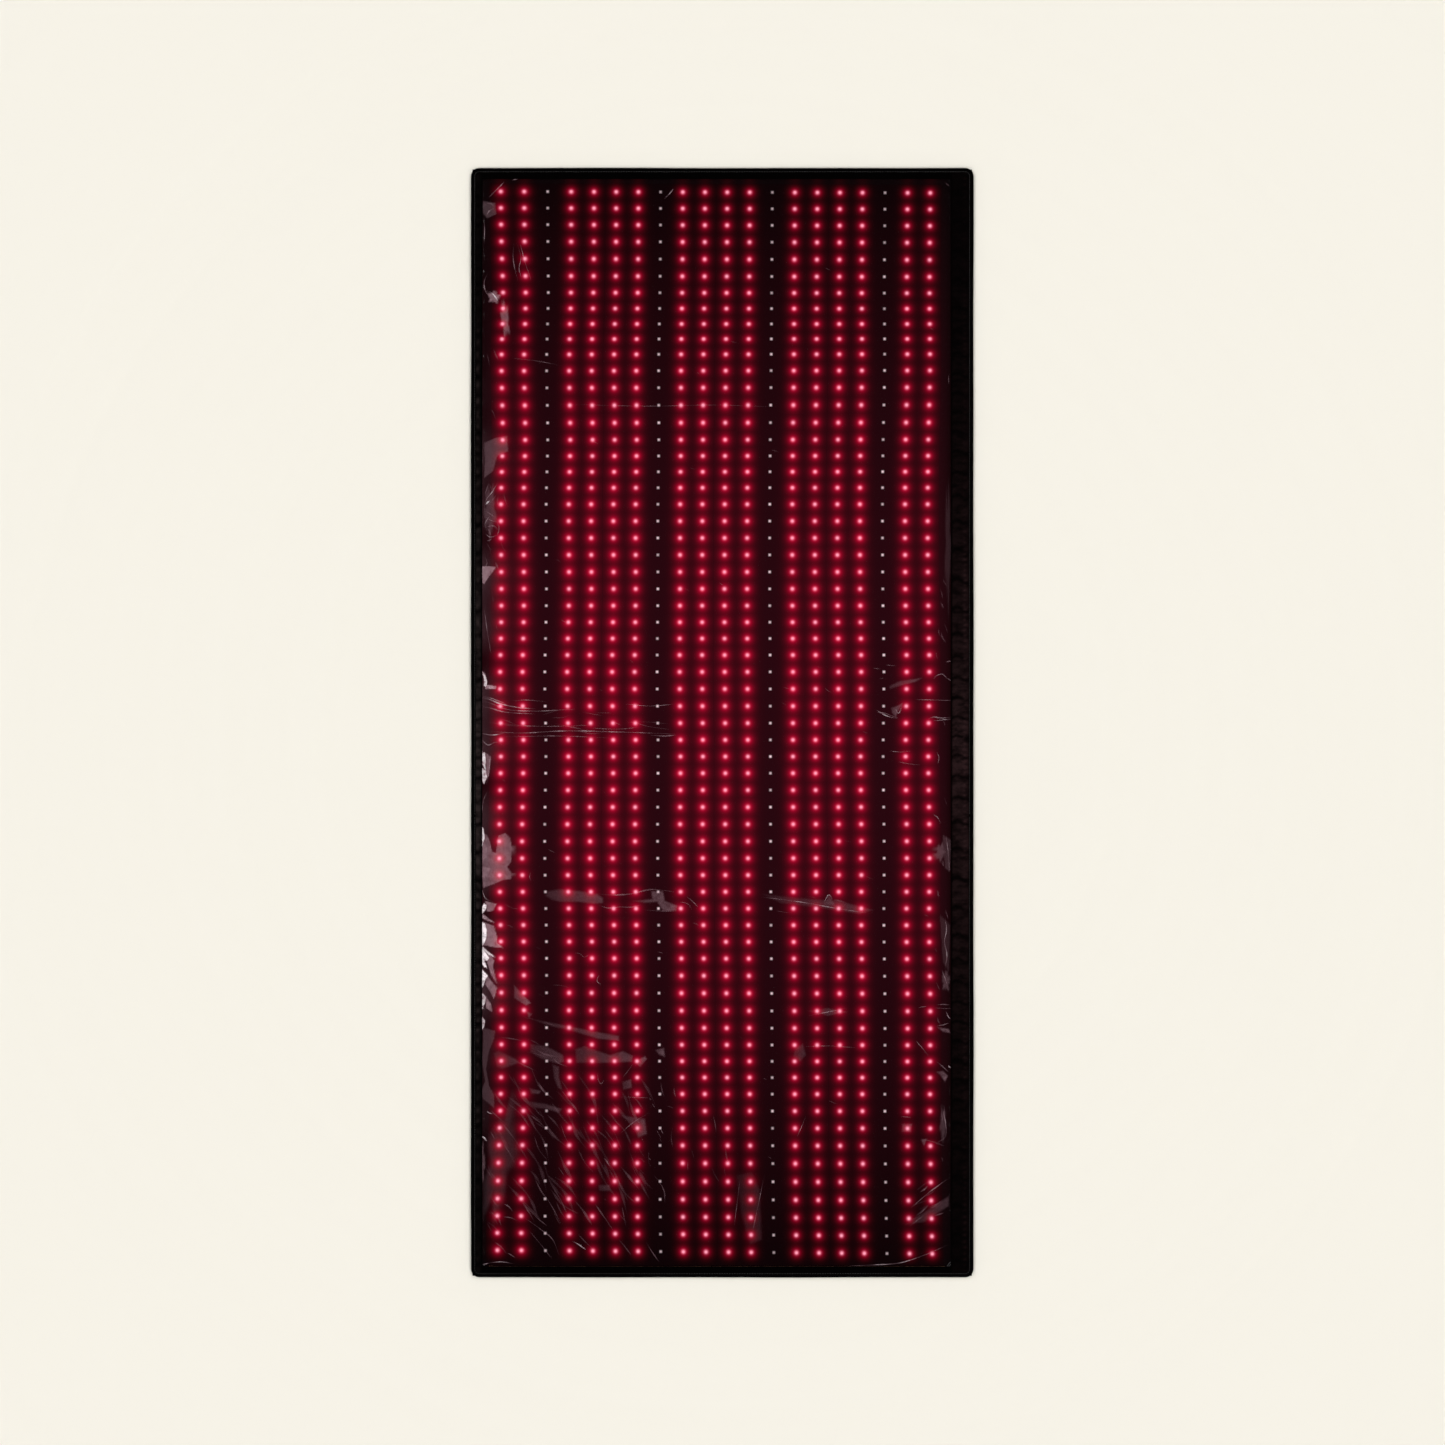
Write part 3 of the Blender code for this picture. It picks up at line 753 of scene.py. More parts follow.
def rows_of(y):
    """How many rows from the head a place along the even grid is."""
    places = [GRID_FOOT, FOOT_FOLD, HEAD_FOLD, GRID_HEAD]
    counts = [ROWS, PANEL_ROWS["foot"][0], PANEL_ROWS["middle"][0], 0]
    inside = np.interp(y, places, counts)
    past = np.maximum(GRID_FOOT - y, 0) / (FOOT_FOLD - GRID_FOOT) * PANEL_ROWS["foot"][1]
    return inside + past


def grid_place(x, y):
    """A place counted in columns and rows, for the glow."""
    return (x - GRID_LEFT) / COLUMN_PITCH, rows_of(y)


def lit_by(x, y):
    """The same for what lies under the boards, where the diodes stand off their even grid."""
    moved_x, moved_y = drift(x, y)
    return grid_place(2 * x - moved_x, 2 * y - moved_y)


def add_boards(half):
    for number in range(COLUMNS // BOARD_COLUMNS):
        left = GRID_LEFT + number * BOARD_COLUMNS * COLUMN_PITCH
        right = left + BOARD_COLUMNS * COLUMN_PITCH
        xs = steps(left + BOARD_GAP / 2, right - BOARD_GAP / 2, BOARD_STEP)
        ys = lines_along(half, BOARD_STEP_ALONG, GRID_FOOT - BOARD_TAIL, GRID_HEAD)
        piece, _ = new_lattice(
            f"led_board_{number + 1}_{half}", xs, ys, finishes["board"],
            lambda x, y: BOARD_LOW + BOARD_THICKNESS + 0 * x,
            lambda x, y: BOARD_LOW + 0 * x, place=drift, uv=grid_place,
        )
        bend(piece, half, *both_panels(f"led_board_{number + 1}_{{}}", half), slot="board")


def package_shape():
    """One diode's package and its lens, each as points in metres and faces."""
    square = [(1, 1), (-1, 1), (-1, -1), (1, -1)]
    top = PACKAGE_HEIGHT

    def ring(radius, z):
        angles = TURN * (np.arange(RING_SIDES) / RING_SIDES + 1 / 8)
        return [(radius * math.cos(a), radius * math.sin(a), z) for a in angles]

    def corners(half, z):
        return [(half * x, half * y, z) for x, y in square]

    package = [*corners(PACKAGE, 0), *corners(PACKAGE, top - CHAMFER), *corners(PACKAGE - CHAMFER, top)]
    package += ring(WELL_RADIUS, top) + ring(WELL_RADIUS * 0.9, top - WELL_DEPTH)
    walls = [[3, 2, 1, 0]]
    for level in (0, 4):
        walls += [[level + k, level + (k + 1) % 4, level + 4 + (k + 1) % 4, level + 4 + k] for k in range(4)]
    rim, floor = 12, 12 + RING_SIDES
    third = RING_SIDES // 4
    for k in range(4):
        arc = [rim + (third * k + j) % RING_SIDES for j in range(third, -1, -1)]
        walls.append([8 + k, 8 + (k + 1) % 4, *arc])
    for k in range(RING_SIDES):
        after = (k + 1) % RING_SIDES
        walls.append([rim + k, rim + after, floor + after, floor + k])
    walls.append([floor + k for k in range(RING_SIDES)])

    lens = [point for radius, z in LENS_RINGS for point in ring(radius * MM, top + z * MM)]
    lens.append((0, 0, top + LENS_RISE))
    dome = [list(range(RING_SIDES))[::-1]]
    for level in range(len(LENS_RINGS) - 1):
        low, high = level * RING_SIDES, (level + 1) * RING_SIDES
        for k in range(RING_SIDES):
            after = (k + 1) % RING_SIDES
            dome.append([low + k, low + after, high + after, high + k])
    last = (len(LENS_RINGS) - 1) * RING_SIDES
    dome += [[last + k, last + (k + 1) % RING_SIDES, len(lens) - 1] for k in range(RING_SIDES)]
    return (np.array(package), walls), (np.array(lens), dome)


def add_diodes(panel, kind):
    """All the diodes of one kind on one panel, as their packages and their lenses."""
    first, rows, low, high = PANEL_ROWS[panel]
    pitch = (high - low) / rows
    infrared = kind == "infrared"
    columns = [c for c in range(COLUMNS) if (c % BOARD_COLUMNS == INFRARED_COLUMN) == infrared]
    column, row = (grid.ravel() for grid in np.meshgrid(columns, np.arange(rows)))
    even_x, even_y = GRID_LEFT + (column + 0.5) * COLUMN_PITCH, high - (row + 0.5) * pitch
    x, y = drift(even_x, even_y)
    seat = BOARD_LOW + BOARD_THICKNESS - SOLDERED_IN
    for part, (shape, sides) in zip(("packages", "lenses"), package_shape()):
        places = np.stack([x, y, seat + 0 * x], axis=1)
        points = (places[:, None] + shape[None]).reshape(-1, 3)
        uv = np.stack([
            (column + 0.5)[:, None] + shape[None, :, 0] / COLUMN_PITCH,
            (first + row + 0.5)[:, None] - shape[None, :, 1] / pitch,
        ], axis=-1).reshape(-1, 2)
        by_size = {}
        for side in sides:
            by_size.setdefault(len(side), []).append(side)
        offsets = np.arange(len(x)) * len(shape)
        faces = [
            (offsets[:, None, None] + np.array(group)[None]).reshape(-1, size)
            for size, group in by_size.items()
        ]
        piece, _ = new_piece(
            f"{kind}_diode_{part}_{panel}", points, faces, finishes[f"{kind}_diode"], uv=uv, crease=35
        )
        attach(piece, f"{panel}_panel")
        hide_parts(*(f"led_board_{k + 1}_{panel}" for k in range(COLUMNS // BOARD_COLUMNS)))


def photo(x, y):
    """A place on the mat from a pixel of the photograph."""
    return (np.asarray(x, float) - MAT_AT[0]) * PIXEL, (MAT_AT[1] - np.asarray(y, float)) * PIXEL


# Milky patches of the film, partly painted highlight: centre and half sizes in the photograph's pixels, turn
# in degrees, strength
PATCHES = (
    (494, 297, 6, 6, 0, 0.15), (505, 319, 4, 18, -5, 0.10), (490, 510, 6, 26, 0, 0.05),
    (482, 1163, 3, 20, 0, 0.06), (940.5, 852, 5, 9, 10, 0.06), (946, 981, 4, 10, 0, 0.05),
    (943, 1124, 3, 17, 0, 0.04), (948, 545, 3, 60, 0, 0.02), (500, 1160, 14, 60, 10, 0.02),
)
# Flaps and pinches of the film, milky with painted highlights where it curls at its edges: their corners in
# the photograph's pixels, strength and soft edge in mm
FLAPS = (
    (((483, 201), (495, 203), (496, 214), (487, 218), (483, 213)), 0.05, 1.8),
    (((479, 566), (496, 567), (488, 578), (484, 584), (480, 580)), 0.19, 1.2),
    (((482, 671), (485, 675), (487, 682), (486, 687), (484, 686), (484, 679)), 0.70, 0.8),
    (((486, 685), (496, 686), (496, 689), (485, 689)), 0.25, 1.0),
    (((482, 752), (485, 753), (486, 762), (484.5, 768), (482, 764)), 0.60, 0.8),
    (((482, 768), (485, 770), (487, 777), (484, 784), (482, 780)), 0.55, 0.8),
    (((486, 753), (491, 757), (489, 775), (486, 780)), 0.12, 1.0),
    (((481, 826), (483.5, 829), (484.5, 838), (482, 847)), 0.85, 0.8),
    (((481, 833), (487, 835), (490, 842), (492, 852), (496, 853), (498, 836), (505, 833), (510, 838),
      (512, 848), (511, 862), (507, 867), (512, 874), (511, 879), (503, 880), (494, 884), (483, 888),
      (481, 860)), 0.11, 1.4),
    (((482, 840), (487, 846), (487, 857), (482, 862)), 0.15, 1.6),
    (((482, 866), (490, 868), (488, 876), (482, 878)), 0.16, 1.4),
    (((484, 903), (486.5, 906), (485.5, 910), (482, 914), (481, 909)), 1.00, 0.7),
    (((485, 901), (496.5, 904), (493, 911), (487, 912)), 0.14, 1.2),
    (((482, 914), (484, 915), (489, 919), (495, 923), (488, 921), (482, 918)), 0.23, 0.7),
    (((481, 922), (484.5, 923), (486.5, 930), (486.5, 937), (484, 944), (481.5, 947)), 1.00, 0.8),
    (((485, 923), (494, 926), (497, 937), (497, 942), (503, 948), (493, 947), (483, 945), (487, 937)),
     0.17, 1.0),
    (((482, 946), (485, 949), (491, 954), (496, 958), (489, 955), (482, 949)), 0.55, 0.6),
    (((481.5, 949), (485, 952), (489, 958), (487, 961), (484.5, 961), (487, 968), (484, 967), (481.5, 963)),
     1.00, 0.7),
    (((488, 953), (494, 960), (493, 967), (497, 984), (491, 975), (487, 962)), 0.16, 1.0),
    (((481.5, 969), (488, 976), (485.5, 979), (484, 984), (482, 988)), 0.95, 0.7),
    (((487, 975), (491, 981), (497, 988), (494, 999), (489, 990), (485, 984)), 0.15, 1.0),
    (((482, 993), (486, 997), (485, 1003), (482, 1010)), 0.65, 0.8),
    (((486, 997), (491, 1004), (492, 1012), (486, 1008)), 0.16, 1.0),
    (((482, 1017), (485, 1021), (484, 1027), (482, 1030)), 0.50, 0.8),
    (((483, 1028), (495, 1031), (494, 1039), (489, 1051), (486, 1069), (489, 1086), (494, 1095), (494, 1108),
      (483, 1099), (481, 1092), (485, 1081), (482, 1062), (483, 1044)), 0.04, 1.8),
    (((484, 443), (495, 438), (507, 436), (508, 451), (497, 456), (493, 471), (484, 478), (485, 460)),
     0.06, 1.8),
    (((943, 835), (951, 840), (950, 872), (945, 868)), 0.03, 1.2),
    (((940, 915), (950, 925), (949, 972), (943, 962)), 0.02, 1.6),
)
# Sheens, painted reflections on flat creased spots of the film, likewise
SHEENS = (
    (((514, 985), (531, 1003), (526, 1006), (514, 998)), 0.14, 1.0),
    (((525, 1010), (532, 1014), (529, 1018)), 0.10, 1.0),
    (((531, 1019), (564, 1025), (592, 1031), (619, 1036), (619, 1041), (598, 1039), (572, 1031),
      (546, 1025)), 0.07, 1.2),
    (((493, 1053), (499, 1051), (516, 1059), (519, 1063), (502, 1069), (497, 1067)), 0.05, 1.4),
    (((530, 1044), (546, 1046), (563, 1055), (564, 1062), (558, 1064), (541, 1059), (530, 1052)), 0.06, 1.4),
    (((575, 1049), (585, 1046), (598, 1051), (610, 1055), (623, 1051), (633, 1056), (632, 1062), (610, 1063),
      (576, 1063)), 0.07, 1.2),
    (((634, 1062), (645, 1056), (647, 1059), (640, 1067)), 0.12, 1.0),
    (((655, 1050), (664, 1048), (665, 1057), (659, 1055)), 0.12, 1.0),
    (((552, 1064), (559, 1067), (559, 1077), (562, 1090), (558, 1088), (554, 1079)), 0.06, 1.2),
    (((622, 1082), (631, 1079), (632, 1088), (623, 1090)), 0.07, 1.0),
    (((529, 1088), (541, 1091), (539, 1094), (531, 1094)), 0.07, 1.0),
    (((527, 1101), (546, 1104), (562, 1109), (559, 1113), (546, 1109), (534, 1108)), 0.06, 1.2),
    (((620, 1115), (645, 1119), (647, 1134), (638, 1138), (634, 1126)), 0.08, 1.4),
    (((598, 1185), (610, 1185), (610, 1191), (599, 1191)), 0.05, 1.2),
    (((548, 891), (560, 889), (580, 891), (597, 894), (603, 898), (603, 903), (594, 904), (578, 902),
      (560, 902), (552, 900), (545, 896)), 0.08, 1.4),
    (((651, 891), (663, 891), (665, 901), (678, 906), (676, 911), (663, 911), (657, 902), (645, 903),
      (633, 901), (652, 899)), 0.13, 1.2),
    (((889, 686), (900, 681), (914, 679), (922, 678), (915, 682), (900, 686), (890, 689)), 0.10, 1.2),
    (((891, 708), (899, 705), (903, 703), (898, 712), (896, 717), (892, 713)), 0.14, 1.0),
    (((762, 894), (800, 898), (840, 901), (873, 910), (860, 914), (820, 908), (780, 903)), 0.05, 1.6),
    (((823, 905), (829, 895), (835, 905)), 0.09, 1.0),
    (((808, 1011), (828, 1008), (847, 1012), (828, 1016)), 0.06, 1.2),
    (((736, 1175), (752, 1172), (760, 1190), (762, 1240), (750, 1245), (741, 1215)), 0.02, 1.8),
    (((795, 1047), (803, 1044), (806, 1055), (800, 1062), (793, 1057)), 0.05, 1.4),
    (((937, 1027), (949, 1029), (950, 1033), (943, 1032)), 0.16, 1.0),
    (((936, 1072), (940, 1075), (945, 1082), (948, 1076), (943, 1071)), 0.15, 1.0),
    (((902, 1124), (912, 1124), (911, 1132), (902, 1132)), 0.10, 1.0),
    (((921, 1140), (927, 1139), (924, 1146)), 0.16, 1.0),
    (((905, 1225), (925, 1212), (949, 1196), (949, 1206), (925, 1222)), 0.05, 1.4),
)
# Creases of the film, raised ridges with a painted highlight: pixels of the photograph that each passes
# through, its width in mm and strength
CREASES = (
    (((504, 182), (497, 189), (489, 197)), 2.4, 0.5),
    (((484, 218), (484.5, 231), (484, 244)), 1.4, 0.3),
    (((520, 243), (525, 262), (531, 280)), 1.6, 0.3),
    (((498, 482), (492, 492), (486, 500), (484, 512)), 1.4, 0.5),
    (((496, 495), (487, 507)), 1.2, 0.45),
    (((490, 515), (485, 524), (488, 534)), 1.2, 0.45),
    (((484, 606), (487, 630), (491, 654)), 1.4, 0.35),
    (((484, 671), (486, 679), (486.5, 687)), 2.6, 0.9),
    (((486, 687), (491, 688), (496, 688)), 2.0, 0.55),
    (((479, 698), (488, 699), (498, 703), (515, 707), (536, 709)), 2.4, 0.65),
    (((479, 700), (490, 703), (505, 709), (530, 711), (575, 709)), 1.6, 0.45),
    (((479, 706), (490, 708), (500, 711), (536, 714)), 1.8, 0.4),
    (((479, 697), (486, 697), (496, 700), (508, 705)), 1.4, 0.5),
    (((480, 733), (492, 735), (505, 733)), 1.8, 0.5),
    (((481, 739), (488, 745), (496, 742), (504, 746)), 1.6, 0.4),
    (((650, 735), (664, 736), (676, 735)), 2.6, 0.3),
    (((590, 728), (620, 729), (640, 727)), 1.3, 0.3),
    (((510, 701), (525, 700), (548, 702)), 1.2, 0.3),
    (((625, 704), (650, 706), (675, 704)), 1.4, 0.35),
    (((484, 752), (484.5, 765), (485.5, 778), (483, 784)), 3.0, 0.9),
    (((490, 755), (489, 770), (486.5, 784)), 1.6, 0.45),
    (((487, 792), (483.5, 800), (482, 814)), 1.4, 0.4),
    (((482, 827), (482.5, 836), (482, 846)), 2.0, 0.85),
    (((482, 890), (486, 899), (494, 902)), 1.6, 0.5),
    (((483, 1264.5), (486, 1264), (489, 1263)), 2.2, 0.8),
    (((489, 1263), (501, 1262), (514, 1264)), 1.3, 0.45),
    (((483, 731), (520, 733), (560, 731), (620, 732), (675, 734)), 2.0, 0.36),
    (((500, 737), (560, 736), (610, 738)), 1.2, 0.3),
    (((484, 722), (530, 726), (600, 725)), 1.2, 0.25),
    (((875, 709), (887, 716), (899, 719)), 1.8, 0.45),
    (((928, 719), (933, 717), (941, 718), (953, 717)), 1.8, 0.5),
    (((932, 721), (942, 720), (952, 719)), 1.2, 0.4),
    (((934, 678), (938, 675), (942, 674), (947, 678), (953, 682)), 2.0, 0.55),
    (((915, 699.5), (935, 700), (954, 700.5)), 1.4, 0.35),
    (((877, 712), (884, 713), (890, 715), (898, 718)), 1.8, 0.5),
    (((892, 707), (896, 710), (898, 713), (903, 704)), 1.8, 0.5),
    (((873, 668), (881, 669)), 1.2, 0.3),
    (((886, 665), (897, 666)), 1.2, 0.3),
    (((879, 679), (884, 678)), 1.2, 0.3),
    (((946, 662), (951, 661)), 2.0, 0.35),
    (((937, 752), (939, 757), (938, 764)), 1.2, 0.3),
    (((933, 814), (938, 818), (941, 824)), 1.2, 0.3),
    (((530.5, 873), (529.5, 877), (531, 881)), 1.4, 0.35),
    (((505, 904), (512, 908), (519, 909)), 1.4, 0.25),
    (((506, 925), (510, 926), (513, 928)), 1.2, 0.3),
    (((575, 953), (580, 954), (584, 957), (589, 955)), 1.5, 0.35),
    (((599, 975), (597, 981), (601, 985)), 1.4, 0.35),
    (((514, 243), (513, 255), (515, 270), (518, 281)), 1.6, 0.2),
    (((518, 246), (521, 258), (519, 268), (522, 280)), 1.3, 0.35),
    (((488, 273), (484, 282), (486, 292), (490, 297)), 1.8, 0.3),
    (((489, 291), (493, 294), (498, 301)), 2.8, 0.75),
    (((487, 290), (490, 298), (497, 303)), 1.6, 0.4),
    (((484, 205), (489, 203), (494, 206)), 1.4, 0.3),
    (((486, 216), (490, 210), (494, 208)), 1.4, 0.3),
    (((512, 180), (516, 179), (519, 178)), 1.6, 0.3),
    (((890, 751), (902, 752), (911, 751)), 1.4, 0.4),
    (((899, 762), (910, 764), (920, 765)), 1.4, 0.4),
    (((761, 897), (800, 902), (840, 909), (873, 914)), 1.6, 0.35),
    (((823, 905), (829, 895), (835, 905)), 1.5, 0.4),
    (((620, 1134), (634, 1122), (649, 1113)), 1.4, 0.3),
    (((572, 1241), (579, 1245), (586, 1250)), 2.6, 0.65),
    (((948.5, 375), (949, 384)), 1.8, 0.45),
    (((946, 836), (948, 850), (949, 862), (949.5, 872)), 1.3, 0.4),
    (((945, 917), (946.5, 930), (944.5, 942), (947, 955), (945, 969)), 1.6, 0.5),
    (((942, 970), (946, 981), (949, 992)), 1.4, 0.35),
    (((921, 1139), (933, 1142), (944, 1146)), 1.5, 0.4),
    (((911, 1208), (930, 1192), (949, 1178)), 1.5, 0.35),
    (((909, 1227), (923, 1216)), 1.3, 0.3),
    (((850, 1266), (875, 1265), (900, 1263), (925, 1255), (948, 1245)), 1.6, 0.5),
    (((664, 199), (669, 194), (674, 188)), 1.8, 0.45),
    (((512, 358), (538, 361), (563, 366)), 1.2, 0.2),
    (((560, 404), (650, 406), (720, 405), (780, 407)), 1.2, 0.15),
    (((799, 1047), (828, 1046), (858, 1048)), 1.2, 0.25),
    (((808, 1016), (828, 1012), (847, 1008)), 1.4, 0.3),
    (((797, 1137), (802, 1126), (806, 1116)), 1.4, 0.3),
    (((734, 1228), (737, 1204), (740, 1180)), 1.2, 0.2),
    (((751, 1240), (758, 1206), (765, 1173)), 1.2, 0.2),
    (((945, 182), (947, 184), (949, 186)), 1.4, 0.4),
    (((597, 894), (613, 895), (630, 894), (652, 889.5), (661, 890), (674, 892)), 2.4, 0.25),
    (((599, 905.5), (608, 908), (620, 907), (633, 907), (641, 905)), 2.4, 0.25),
    (((645, 910), (660, 911), (675, 911)), 1.6, 0.2),
    (((686, 896), (692, 901), (698, 907)), 1.8, 0.35),
    (((680, 902), (688, 904), (692, 910)), 1.6, 0.35),
    (((531, 1168), (541, 1191), (549, 1202), (562, 1226)), 2.2, 0.12),
    (((504, 1145), (508, 1151), (512, 1158)), 2.0, 0.12),
    (((558, 1167), (561, 1171), (564, 1176)), 2.6, 0.14),
    (((552, 1186), (560, 1199), (567, 1214)), 3.2, 0.10),
    (((575, 1201), (584, 1212), (592, 1225)), 5.0, 0.12),
    (((595, 1204), (604, 1217), (613, 1230)), 2.6, 0.15),
    (((526, 1206), (536, 1217), (547, 1226)), 2.2, 0.16),
    (((526, 1219), (540, 1229), (552, 1239), (559, 1255)), 2.0, 0.18),
    (((504, 1204), (509, 1207), (513, 1212)), 2.4, 0.18),
    (((504, 1217), (511, 1218), (517, 1221)), 2.0, 0.18),
    (((620, 1166), (630, 1178), (640, 1191)), 4.0, 0.10),
    (((604, 1158), (607, 1162), (610, 1167)), 2.2, 0.20),
    (((622, 1207), (624, 1217), (626, 1227)), 1.8, 0.15),
    (((619, 1240), (625, 1247), (631, 1255)), 3.2, 0.12),
    (((646, 1242), (652, 1252), (659, 1262)), 2.0, 0.14),
    (((654, 1175), (664, 1191), (665, 1204)), 1.6, 0.16),
    (((530, 1232), (541, 1245), (552, 1259)), 1.8, 0.12),
    (((507, 1253), (511, 1255), (515, 1258)), 1.8, 0.3),
    (((487, 1111), (489, 1113), (494, 1114)), 2.2, 0.75),
    (((481, 1136), (484, 1138), (487, 1141.5)), 3.0, 0.85),
    (((530, 1115), (538, 1121), (547, 1130)), 3.2, 0.10),
    (((619, 1097), (635, 1097.5), (651, 1098)), 1.4, 0.2),
    (((598, 1072), (598, 1079), (601, 1084), (604, 1080)), 1.4, 0.3),
    (((623, 1077), (628, 1071), (633, 1064)), 1.8, 0.25),
    (((918, 1008), (922, 1007), (926.5, 1006.5)), 2.2, 0.45),
    (((935, 1008), (943, 1008.5), (951, 1008.5)), 1.6, 0.3),
    (((937, 1005), (943, 1004.5), (950, 1005)), 1.3, 0.25),
    (((946, 1011), (948, 1016), (951, 1020)), 1.6, 0.35),
    (((937, 1026), (943, 1025), (949, 1023)), 1.5, 0.3),
    (((916, 1041), (923, 1049), (929, 1057)), 1.8, 0.28),
    (((948, 1065.5), (949.5, 1067), (951, 1068.5)), 3.0, 0.9),
    (((936, 1061), (942, 1066), (948.5, 1072)), 1.6, 0.3),
    (((940, 1106), (943.5, 1106), (944, 1115), (945.5, 1122), (944.5, 1138), (937, 1143)), 1.8, 0.32),
    (((900.5, 1116.5), (906, 1117), (911, 1117.5)), 2.2, 0.4),
    (((489, 483), (487, 488), (485, 494)), 1.6, 0.4),
    (((485.5, 505), (488, 502), (490.5, 500.5)), 2.8, 0.75),
    (((485, 511), (489, 513), (494, 517)), 1.4, 0.35),
    (((484, 516), (490, 520), (497, 522)), 1.3, 0.35),
    (((486, 527), (494, 526), (498, 530)), 1.4, 0.4),
    (((485, 533), (490, 537), (497, 535)), 1.4, 0.35),
    (((487, 541), (490, 540), (492, 538)), 1.4, 0.35),
    (((497, 521), (499, 528), (497, 536)), 1.4, 0.4),
    (((484, 556), (487, 562), (485, 568)), 1.4, 0.3),
)
# Fine streaks strewn over the film, small ridges with a painted glint, all in the photograph's pixels: the
# corners of their field, how far each runs, how many, their width in mm and strength
STREAKS = (
    ((490, 1066), (560, 1200), (26, 36), 22, 5.0, 0.060),
    ((560, 1072), (640, 1200), (20, 38), 24, 5.0, 0.060),
    ((490, 1080), (640, 1235), (14, 19), 20, 2.6, 0.085),
    ((484, 1110), (500, 1245), (10, 13), 12, 2.2, 0.12),
    ((496, 985), (570, 1060), (24, 9), 9, 2.6, 0.09),
    ((905, 1180), (938, 1258), (16, -9), 12, 2.2, 0.13),
    ((486, 696), (640, 740), (38, 2), 10, 1.8, 0.13),
    ((770, 894), (860, 912), (26, 3), 5, 2.0, 0.10),
    ((484, 330), (504, 640), (3, 12), 16, 2.0, 0.10),
    ((934, 560), (948, 1160), (3, 9), 22, 1.8, 0.14),
    ((640, 1080), (760, 1240), (4, 16), 10, 2.2, 0.09),
    ((640, 1090), (662, 1160), (3, 4), 9, 1.6, 0.20),
    ((500, 190), (930, 1250), (7, 3), 40, 1.4, 0.11),
)
STREAK_SEED = 5
STREAK_RISE = 0.10
# The least and most that a streak's turn, length, bow, width and strength are varied by
STREAK_VARIES = (-0.22, 0.45, -0.10, 0.6, 0.5), (0.22, 1.25, 0.10, 1.3, 1.1)
SHEEN_STEP, SHEEN_LIFT = 1.1 * MM, 0.06 * MM
SHEEN_LEVEL, SHEEN_SOFTER, SHEEN_FAINT = 0.85, 2.2, 0.4
FILM_WAVES, FILM_BENDS = (37 * MM, 51 * MM), (120 * MM, 83 * MM)
FILM_SLACK, FILM_GATHERS = 0.16 * MM, (0.85 * MM, 0.5 * MM)  # the gathers on the left and on the right
FILM_STEP, CREASED_STEP, PLAIN_STEP, LENGTH_STEP = 0.8 * MM, 1.6 * MM, 8 * MM, 1.5 * MM
GATHERED, CREASED, CREASED_RIGHT = 15 * MM, 47 * MM, 23 * MM  # how far in from the window's sides
CREASE_RISE, CREASE_WIDTH = 0.24, 1.4  # mm, and wider creases rise less
CREASE_STEP = 2.2 * MM
# The section of a crease: across as a share of half its width, and the share of its rise
CREASE_SHARES = (-0.45, 0.6), (0, 1), (0.45, 0.6)
CREASE_SUNK = -0.10  # mm, at its two edges


def film_height(x, y):
    """The film's surface. It lies over the diodes, is gathered along its sides and dips under the border."""
    inside = ease(np.minimum(x - WINDOW_LEFT, WINDOW_RIGHT - x), 0, 4 * MM)
    inside = inside * ease(np.minimum(y - WINDOW_FOOT, WINDOW_HEAD - y), 0, 4 * MM)
    slow = slack(x, y, FILM_WAVES, FILM_BENDS, 1.7)
    left = np.exp(-(x - WINDOW_LEFT) / (16 * MM)) * ripple(y, 27 * MM, 1.0)
    right = np.exp(-(WINDOW_RIGHT - x) / (11 * MM)) * ripple(y, 31 * MM, 2.0)
    return FILM_TOP + inside * (FILM_SLACK * (1 + slow) + FILM_GATHERS[0] * left + FILM_GATHERS[1] * right)


def depth_in(outline, x, y):
    """How far inside a closed outline each place is, in metres, and below 0 outside it."""
    px, py = photo(*np.array(outline, float).T)
    nearest, inside = np.full_like(x, np.inf), np.zeros(x.shape, bool)
    for ax, ay, bx, by in zip(px, py, np.roll(px, -1), np.roll(py, -1)):
        t = np.clip(((x - ax) * (bx - ax) + (y - ay) * (by - ay)) / ((bx - ax) ** 2 + (by - ay) ** 2), 0, 1)
        nearest = np.minimum(nearest, np.hypot(x - ax - t * (bx - ax), y - ay - t * (by - ay)))
        if ay != by:
            inside ^= ((ay > y) != (by > y)) & (x < ax + (y - ay) / (by - ay) * (bx - ax))
    return np.where(inside, nearest, -nearest)


def film_milk(x, y):
    """How milky the film is: real whitening and painted highlights, and a faint painted reflection near its
    left side.
    """
    milk = 0 * x
    for cx, cy, wide, tall, turn, strength in PATCHES:
        px, py = photo(cx, cy)
        c, s = math.cos(math.radians(turn)), math.sin(math.radians(turn))
        a = ((x - px) * c - (y - py) * s) / (wide * PIXEL)
        b = ((x - px) * s + (y - py) * c) / (tall * PIXEL)
        wobble = 0.16 * np.sin(5 * np.arctan2(b, a) + cx) + 0.10 * np.sin(9 * np.arctan2(b, a) + cy)
        away = np.sqrt(a * a + b * b) + wobble
        milk = np.maximum(milk, strength * (1 - ease(away, 0.62, 1.12)))
    for outline, strength, soft in FLAPS:
        milk = np.maximum(milk, strength * ease(depth_in(outline, x, y), -soft / 2 * MM, soft / 2 * MM))
    # a faint painted reflection near the left side of the window, strongest amid the length
    painted_veil = 0.020 * np.exp(-(x - WINDOW_LEFT) / (20 * MM)) * (1 + np.sin(y / 0.021) * np.sin(y / 0.057))
    return np.maximum(milk, painted_veil * ease(HEAD - y, 0.25, 0.6) * ease(y - FOOT, 0.15, 0.5))


